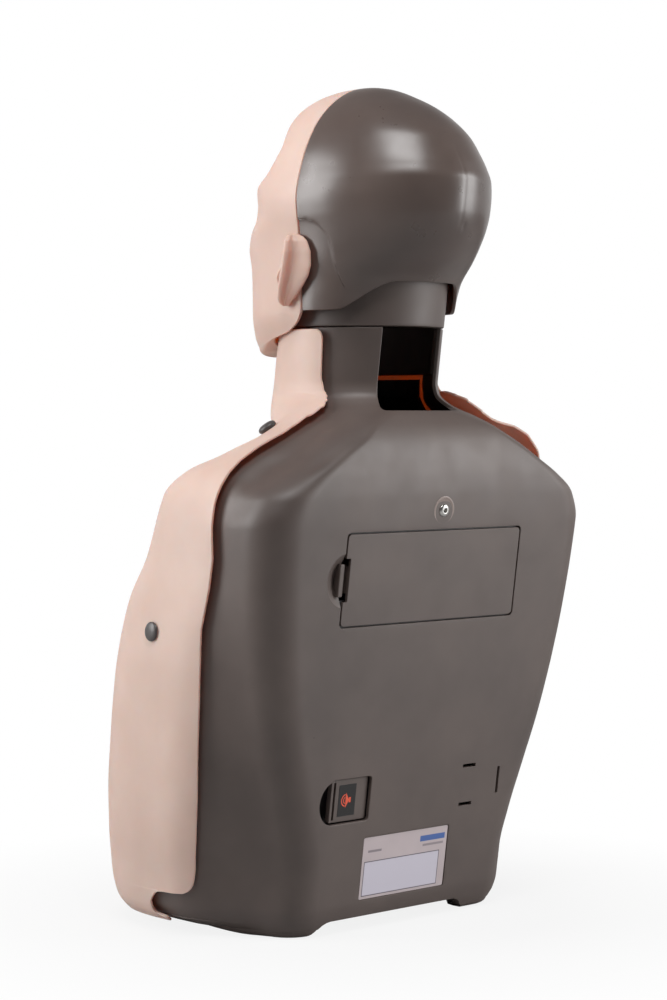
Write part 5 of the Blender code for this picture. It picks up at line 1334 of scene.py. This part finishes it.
left_out, left_in = skin_half(1)
right_out, right_in = skin_half(-1)
outer = np.concatenate([left_out, right_out[:, -2::-1]], 1)
inner = np.concatenate([left_in, right_in[:, -2::-1]], 1)
middle = COLUMNS - 1
for grid in (outer, inner):
    grid[:, middle, 0] = 0.0
skin = moulding("chest_skin_vinyl", outer, inner, SKIN, bulge=0.32, steps=5, sharp=60.0)
stand_in(skin, "torso", "skin_vinyl", "chest_skin")

# %% [markdown]
# **The snap buttons** hold the skin on the shell. Each is a low acetal dome with a rounded rim
# that sits square to the skin. The ones on the shoulders are taller.

# %% Snap buttons of the skin
DOME = [(0.0, 0.0000), (0.0062, 0.0000), (0.0068, 0.0003), (0.0071, 0.0009), (0.0070, 0.0015), (0.0066, 0.0020),
        (0.0059, 0.0024), (0.0046, 0.0028), (0.0030, 0.0030), (0.0014, 0.0031), (0.0, 0.0031)]
# Height, place ahead of the panel, stand above the skin, and the dome's height over DOME's.
SNAPS = {"shoulder": (0.3655, 0.0830, 0.0004, 1.55), "side": (0.2235, 0.1080, -0.0002, 1.0)}


def snap_place(sign, z, ahead, stand):
    """Puts a turned body on the skin, square to it, at a height and a distance ahead of the panel."""
    level, share = np.array([[z]]), np.array([[share_at(z, ahead)]])
    foot = look_up(surface, level, share)[0, 0] * (sign, 1, 1)
    facing = look_up(surface_normals, level, share)[0, 0] * (sign, 1, 1)
    turn = Vector(facing).to_track_quat("Z", "Y").to_matrix()
    return lambda u, v, w: Vector(foot) + turn @ Vector((u, v, w + SKIN_OUT + stand))


for side, sign in (("left", 1), ("right", -1)):
    for spot, (z, ahead, stand, high) in SNAPS.items():
        dome = turned(f"snap_{spot}_{side}", [(r, high * h) for r, h in DOME], SNAP, snap_place(sign, z, ahead, stand))
        stand_in(dome, "torso", "button_plastic", f"button_{spot}_{side}")

# %% [markdown]
# **The face mask** is the front half of the head in the same soft PVC: a calm, closed-eyed face
# of ordinary proportions, drawn as low hills and hollows over the smooth head. The mouth is
# open, and the ears are part of the mask.

# %% Face mask: the face as hills and hollows
def along_curve(x, z, curve_z, width, x_low, x_high, soft):
    """A line of this half width that follows a height over x, faded at both ends."""
    line = np.exp(-((z - curve_z) / width) ** 2)
    return line * smooth(x, x_low, x_low + soft) * (1 - smooth(x, x_high - soft, x_high))


def face_forms(x, z):
    """Forward relief of the face over the smooth head, in metres."""
    x = np.abs(x)
    nose = 0.0130 * hill(x, z, 0, 0.5120, 0.0080, 0.0170) + 0.0160 * hill(x, z, 0, 0.4935, 0.0090, 0.0085)
    wings = 0.0062 * hill(x, z, 0.0122, 0.4900, 0.0055, 0.0060) - 0.0042 * hill(x, z, 0.0062, 0.4862, 0.0034, 0.0022)
    wings -= 0.0012 * hill(x, z, 0.0195, 0.4905, 0.0030, 0.0075)
    brow = 0.0030 * hill(x, z, 0.0220, 0.5470, 0.0240, 0.0065)
    socket = -0.0078 * hill(x, z, 0.0270, 0.5310, 0.0150, 0.0088)
    lid = 0.0056 * hill(x, z, 0.0282, 0.5300, 0.0105, 0.0066)
    arc = ((x - 0.0280) / 0.0130) ** 2
    lash = -0.0014 * along_curve(x, z, 0.5262 + 0.0022 * arc, 0.0008, 0.0135, 0.0425, 0.005)
    crease = -0.0009 * along_curve(x, z, 0.5368 - 0.0026 * arc, 0.0012, 0.0140, 0.0425, 0.007)
    cheek = 0.0024 * hill(x, z, 0.0420, 0.5060, 0.0160, 0.0120)
    fold = -0.0010 * along_curve(z, x, 0.0205 + 0.35 * (0.488 - z), 0.0030, 0.4570, 0.4910, 0.010)
    bow = 0.0012 * hill(x, z, 0.0055, 0.4745, 0.0040, 0.0030)
    upper = 0.0050 * hill(x, z, 0, 0.4693 - 6.0 * x ** 2, 0.0205, 0.0036)
    lower = 0.0054 * hill(x, z, 0, 0.4548 + 6.0 * x ** 2, 0.0180, 0.0040)
    corners = -0.0022 * hill(x, z, 0.0235, 0.4618, 0.0045, 0.0040)
    philtrum = -0.0012 * hill(x, z, 0, 0.4795, 0.0026, 0.0055)
    chin = 0.0062 * hill(x, z, 0, 0.4370, 0.0160, 0.0080) - 0.0028 * hill(x, z, 0, 0.4468, 0.0180, 0.0038)
    forehead = 0.0008 * hill(x, z, 0.0240, 0.5720, 0.0200, 0.0160)
    eyes = brow + socket + lid + lash + crease
    mouth = bow + upper + lower + corners + philtrum
    return nose + wings + eyes + cheek + fold + mouth + chin + forehead


MASK_ROWS, MASK_COLUMNS = 150, 90
MASK_WALL, MASK_EDGE = 0.0030, 0.0013
CURL, CURL_ROWS = 0.0050, 12
CHIN_Z, JAW_BACK_Z, JAW_CORNER = 0.4300, 0.4455, 0.0110
CROWN_Z = 0.6258


def mask_grid(relief):
    """Points of the mask, from the jaw line up to the crown, with a share of the face's relief."""
    share = np.linspace(0.0, 1.0, MASK_ROWS)
    share = 0.62 * share + 0.38 * np.sin(math.pi / 2 * share)
    turn = np.linspace(-1.0, 1.0, 2 * MASK_COLUMNS + 1)
    angle = np.sign(turn) * np.abs(turn) ** 1.25 * math.pi / 2
    part = np.abs(angle) / (math.pi / 2)
    low = CHIN_Z + (JAW_BACK_Z - CHIN_Z) * part ** 2.4
    low += corner_drop((1.0 - part) * 0.085, JAW_CORNER)
    z = low[None, :] + (CROWN_Z - low)[None, :] * share[:, None]
    heights = np.linspace(0.42, CROWN_Z, 400)
    wide = np.interp(z, heights, [station(HEAD, height, 1) for height in heights])
    front = np.interp(z, heights, [station(HEAD, height, 3) for height in heights])
    power = 2 / 2.3
    a = np.broadcast_to(angle, z.shape)
    x = wide * np.sign(a) * np.abs(np.sin(a)) ** power
    cosine = np.abs(np.cos(a)) ** power
    y = HEAD_Y - MASK_EDGE - front * cosine - relief * face_forms(x, z) * np.minimum(1.0, 2.2 * np.cos(a))
    grid = np.stack([x, y, z], 2)
    grid[-1] = (0.0, HEAD_Y - MASK_EDGE, CROWN_Z)
    # Under the chin the mask turns inwards, less and less towards the ears.
    inward = np.stack([-grid[0, :, 0], HEAD_Y - 0.02 - grid[0, :, 1]], 1)
    inward /= np.linalg.norm(inward, axis=1, keepdims=True)
    reach = 0.10 + 0.90 * (1 - smooth(part, 0.45, 0.80))
    under = []
    for t in np.linspace(1.0, 0.0, CURL_ROWS + 1)[:-1]:
        turn = min(t / 0.5, 1.0) * math.pi / 2
        step_in = CURL * (1 - math.cos(turn)) + 0.012 * max(t - 0.5, 0.0) / 0.5
        down = CURL * math.sin(turn) - 0.0015 * max(t - 0.5, 0.0) / 0.5
        xy = grid[0, :, :2] + inward * (step_in * reach)[:, None]
        under.append(np.concatenate([xy, (grid[0, :, 2] - down * reach)[:, None]], 1))
    return np.concatenate([np.array(under), grid])


mask_outer = mask_grid(1.0)
calm = mask_grid(0.5)
calm_normals = grid_normals(calm, (0, -1, 0))
calm_normals[-1] = (0, 0, 1)
mask_inner = calm - calm_normals * MASK_WALL
mask_inner[:, (0, -1), 1] = HEAD_Y - MASK_EDGE
face = moulding("face_mask_vinyl", mask_outer, mask_inner, SKIN, bulge=0.26, steps=4, pole=True, sharp=60.0)
print("face mask rows and columns:", mask_outer.shape[:2])

# %% Face mask: the ears
EAR_LOW, EAR_HIGH, EAR_ROOT_X = 0.4606, 0.5128, 0.0746
# By share of the height: the rim's place behind the joint line, how far it stands out, the
# front root, the rear root, and the rim's radius, in millimetres.
EAR = np.array((
    (0.00, -13.5, 2.5, -15.5, -10.0, 0.8), (0.04, -13.2, 5.5, -18.5, -8.0, 1.8), (0.10, -12.4, 7.6, -20.5, -4.0, 2.6),
    (0.25, -9.6, 9.4, -21.5, 4.5, 3.2), (0.40, -6.6, 10.2, -21.0, 11.0, 3.4), (0.55, -4.0, 10.8, -20.0, 14.0, 3.4),
    (0.75, -1.6, 11.2, -17.5, 13.5, 3.3), (0.90, -1.6, 10.2, -14.5, 9.8, 2.9), (0.97, -2.4, 7.5, -12.0, 5.0, 2.1),
    (1.00, -3.0, 4.0, -9.5, 0.0, 0.9),
))


def ear_section(h):
    """Outline of the ear at a share of its height, as (out, back) from the head's joint line."""
    rim_y, out, front, back, rim = (np.interp(h, EAR[:, 0], EAR[:, k]) / 1000 for k in range(1, 6))
    bowl = 0.0046 * math.exp(-((h - 0.44) / 0.20) ** 2)
    groove = 0.0018 * math.exp(-((h - 0.66) / 0.22) ** 2)
    tragus = 0.0030 * math.exp(-((h - 0.42) / 0.09) ** 2)
    x0 = EAR_ROOT_X
    points = (
        (x0 - 0.0026, front + 0.0012),
        (x0 + 0.0004 + tragus * 0.6, front + 0.0006),
        (x0 + 0.16 * out + tragus, front + 0.20 * (rim_y - front)),
        (x0 + 0.36 * out - bowl * 0.8 + tragus * 0.3, front + 0.38 * (rim_y - front)),
        (x0 + 0.58 * out - bowl, front + 0.54 * (rim_y - front)),
        (x0 + 0.80 * out - groove * 0.4, front + 0.66 * (rim_y - front)),
        (x0 + 0.84 * out - groove, front + 0.76 * (rim_y - front)),
        (x0 + out - rim * 0.3, rim_y - rim),
        (x0 + out + rim * 0.45, rim_y),
        (x0 + out - rim * 0.1, rim_y + rim * 0.85),
        (x0 + out - rim * 1.1, rim_y + rim * 1.05),
        (x0 + 0.56 * out, rim_y + rim * 1.1 + 0.10 * (back - rim_y)),
        (x0 + 0.42 * out, rim_y + 0.52 * (back - rim_y)),
        (x0 + 0.27 * out, rim_y + 0.78 * (back - rim_y)),
        (x0 + 0.13 * out, rim_y + 0.96 * (back - rim_y)),
        (x0 - 0.0002, back),
        (x0 - 0.0006, min(rim_y + 0.80 * (back - rim_y), back - 0.0008)),
        (x0 - 0.0009, min(max(rim_y + 0.40 * (back - rim_y), -0.0002), back - 0.0016)),
        (x0 - 0.0012, min(-0.0014, back - 0.0024)),
        (x0 - 0.0026, min(-0.0020, back - 0.0030)),
    )
    return np.array(points)


def smooth_ring(points, steps=4):
    """A closed ring with extra points on a rounded (Catmull-Rom) curve through it."""
    ring = []
    count = len(points)
    for i in range(count):
        a, b, c, d = (points[(i + k - 1) % count] for k in range(4))
        for t in np.arange(steps) / steps:
            bend, twist = 2 * a - 5 * b + 4 * c - d, 3 * b - a - 3 * c + d
            ring.append(0.5 * (2 * b + (c - a) * t + bend * t ** 2 + twist * t ** 3))
    return np.array(ring)


def make_ear(sign):
    """One ear as a closed solid, from its lobe to its top."""
    rings = []
    for h in (1 - np.cos(np.linspace(0.06, math.pi - 0.06, 44))) / 2:
        z = EAR_LOW + (EAR_HIGH - EAR_LOW) * h
        section = smooth_ring(ear_section(float(h)))
        rings.append([Vector((sign * x, HEAD_Y + y, z)) for x, y in section])
    return solid(f"ear_{sign}", rings, SKIN, sharp=70.0)


for sign in (1, -1):
    boolean(face, make_ear(sign), "UNION")
MOUTH_HALF, MOUTH_Z = (0.0150, 0.0050), 0.4615


def through_mouth(across, up, w):
    """A place near the mouth's middle, w forwards from inside the head."""
    return Vector((across, HEAD_Y - 0.04 - w, MOUTH_Z + up))


boolean(face, cutter("mouth", disc((0.0, 0.0), 1.0, MOUTH_HALF, 64), 0.0, surface=0.090, place=through_mouth))
settle(face, 60.0)
stand_in(face, "head", "skin_vinyl", "face_mask")

# %% [markdown]
# ** The press spring** is one steel wire, so it is made by its rule in Geometry Nodes: a wire of a
# given radius round a helix of a given radius, pitch and number of turns, closed at both ends.

# %% Press spring by Geometry Nodes
PRESS_V, COIL_LOW, COIL_HIGH = -0.09157, -0.1891, -0.0074


def spring_nodes():
    """A node group that winds a wire, with its sizes as inputs."""
    tree = bpy.data.node_groups.new("wound wire", "GeometryNodeTree")
    tree.interface.new_socket("Geometry", in_out="OUTPUT", socket_type="NodeSocketGeometry")
    for name, kind in (
        ("Turns", "Float"), ("Radius", "Float"), ("Length", "Float"), ("Wire", "Float"),
        ("Steps", "Int"), ("Sides", "Int"), ("Finish", "Material"),
    ):
        tree.interface.new_socket(name, in_out="INPUT", socket_type="NodeSocket" + kind)
    given = add(tree, "NodeGroupInput", out=None)
    helix = add(
        tree, "GeometryNodeCurveSpiral", Resolution=given["Steps"], Rotations=given["Turns"],
        Start_Radius=given["Radius"], End_Radius=given["Radius"], Height=given["Length"],
    )
    section = add(
        tree, "GeometryNodeCurvePrimitiveCircle", mode="RADIUS", Resolution=given["Sides"], Radius=given["Wire"],
    )
    wire = add(tree, "GeometryNodeCurveToMesh", Curve=helix, Profile_Curve=section, Fill_Caps=True)
    painted = add(tree, "GeometryNodeSetMaterial", Geometry=wire, Material=given["Finish"])
    real = add(tree, "GeometryNodeRealizeInstances", Geometry=painted)
    add(tree, "NodeGroupOutput", real, out=None)
    return tree


def made_by(tree, name, values):
    """A mesh made by a node group with these inputs."""
    obj = put(name, bpy.data.meshes.new(name))
    mod = obj.modifiers.new("nodes", "NODES")
    mod.node_group = tree
    sockets = {s.name: s.identifier for s in tree.interface.items_tree if s.in_out == "INPUT"}
    for key, value in values.items():
        mod[sockets[key]] = value
    obj.update_tag()
    apply_modifiers(obj)
    return obj


WIRE, COIL_RADIUS, TURNS, PRESS_TRAVEL = 0.0011, 0.0215, 8, 0.050
spring = made_by(spring_nodes(), "wound_press_spring", {
    "Turns": float(TURNS), "Radius": COIL_RADIUS, "Length": COIL_HIGH - COIL_LOW - 2 * WIRE, "Wire": WIRE,
    "Steps": 48, "Sides": 12, "Finish": ZINC,
})
low = min(v.co.z for v in spring.data.vertices)
for v in spring.data.vertices:
    v.co = on_panel(v.co.x, PRESS_V + v.co.y, COIL_LOW + v.co.z - low)
bm = bmesh.new()
bm.from_mesh(spring.data)
bpy.data.objects.remove(spring, do_unlink=True)
spring = finish_mesh("wound_press_spring", bm, ZINC)
stand_in(spring, "torso", "steel", "press_spring")
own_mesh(spring)
print("spring:", len(spring.data.polygons), "faces, solid length", round(TURNS * 2 * WIRE * 1000, 1), "mm")

# %% [markdown]
# The studio is plain: a small soft box hangs above the bust on the camera's side, and a large one
# stands at each side. The backdrop is bright behind the bust and dark at the camera, so the shell's
# rounded corner, which faces the camera, stays dark. The floor shows the bust's shadow and fades
# to white.


# %% Floor
BACKDROP_WAY = (-0.688, -0.725, 0.0)


def stage_material():
    """A pale floor that turns to plain white for the camera, away from the bust."""
    mat, tree, shader, where, soft = new_material("studio paper", (400.0, 1.0, 0.55), Roughness=0.9)
    dress(tree, shader, add(tree, "ShaderNodeValToRGB", soft, stops=((0.2, "#b4b4b4"), (0.8, "#bababa"))))
    glow = add(tree, "ShaderNodeEmission", Color=(1, 1, 1, 1), Strength=1.0)
    seen = add(tree, "ShaderNodeLightPath", out="Is Camera Ray")
    away = add(tree, "ShaderNodeVectorMath", where, operation="LENGTH", out="Value")
    white = add(tree, "ShaderNodeMapRange", away, 0.16, 0.42, 0.86, 1.0)
    share = add(tree, "ShaderNodeMath", seen, white, operation="MULTIPLY")
    mixed = add(tree, "ShaderNodeMixShader", share, shader.outputs[0], glow)
    tree.links.new(mixed, tree.nodes["Material Output"].inputs["Surface"])
    return mat


FLOOR_HALF, FLOOR_DROP = 6.0, -0.0003
paper_mesh = bpy.data.meshes.new("studio_floor")
paper_mesh.from_pydata(
    [(x * FLOOR_HALF, y * FLOOR_HALF, FLOOR_DROP) for x, y in ((-1, -1), (1, -1), (1, 1), (-1, 1))],
    [], [(0, 1, 2, 3)],
)
paper_mesh.materials.append(stage_material())
put("studio_floor", paper_mesh)
print("floor:", 2 * FLOOR_HALF, "m across")


# %% Lamps and world
# Each soft box: where it stands, what it faces, its width and height, and its watts.
for name, at, towards, size, watts in (
    ("key box", (0.66, 0.64, 2.00), (0, 0, 0.52), (0.9, 0.9), 27.0),
    ("left box", (1.72, -1.20, 1.10), (0, 0, 0.35), (1.1, 1.6), 46.0),
    ("right box", (-1.45, 1.60, 0.80), (0, 0, 0.30), (1.1, 1.5), 38.0),
):
    lamp_data = bpy.data.lights.new(name, "AREA")
    lamp_data.shape = "RECTANGLE"
    lamp_data.size, lamp_data.size_y = size
    lamp_data.energy = watts
    lamp = put(name, lamp_data)
    lamp.location = at
    lamp.rotation_euler = (Vector(towards) - Vector(at)).to_track_quat("-Z", "Y").to_euler()
world = bpy.data.worlds.new("studio")
bpy.context.scene.world = world
world.use_nodes = True
sky = world.node_tree
background = sky.nodes["Background"]
ray_way = add(sky, "ShaderNodeTexCoord", out="Generated")
behind = add(sky, "ShaderNodeVectorMath", ray_way, BACKDROP_WAY, operation="DOT_PRODUCT", out="Value")
around = add(sky, "ShaderNodeMapRange", behind, -0.35, 0.45, 0.05, 0.90)
height = add(sky, "ShaderNodeSeparateXYZ", ray_way, out="Z")
fade = add(sky, "ShaderNodeMapRange", height, 0.15, 0.60, 1.0, 0.2)
backdrop = add(sky, "ShaderNodeMath", around, fade, operation="MULTIPLY")
camera_ray = add(sky, "ShaderNodeLightPath", out="Is Camera Ray")
level = add(sky, "ShaderNodeMix", data_type="FLOAT", Factor=camera_ray, i2=backdrop, i3=1.0, out="Result")
sky.links.new(level, background.inputs["Strength"])
background.inputs["Color"].default_value = (1.0, 1.0, 1.0, 1.0)
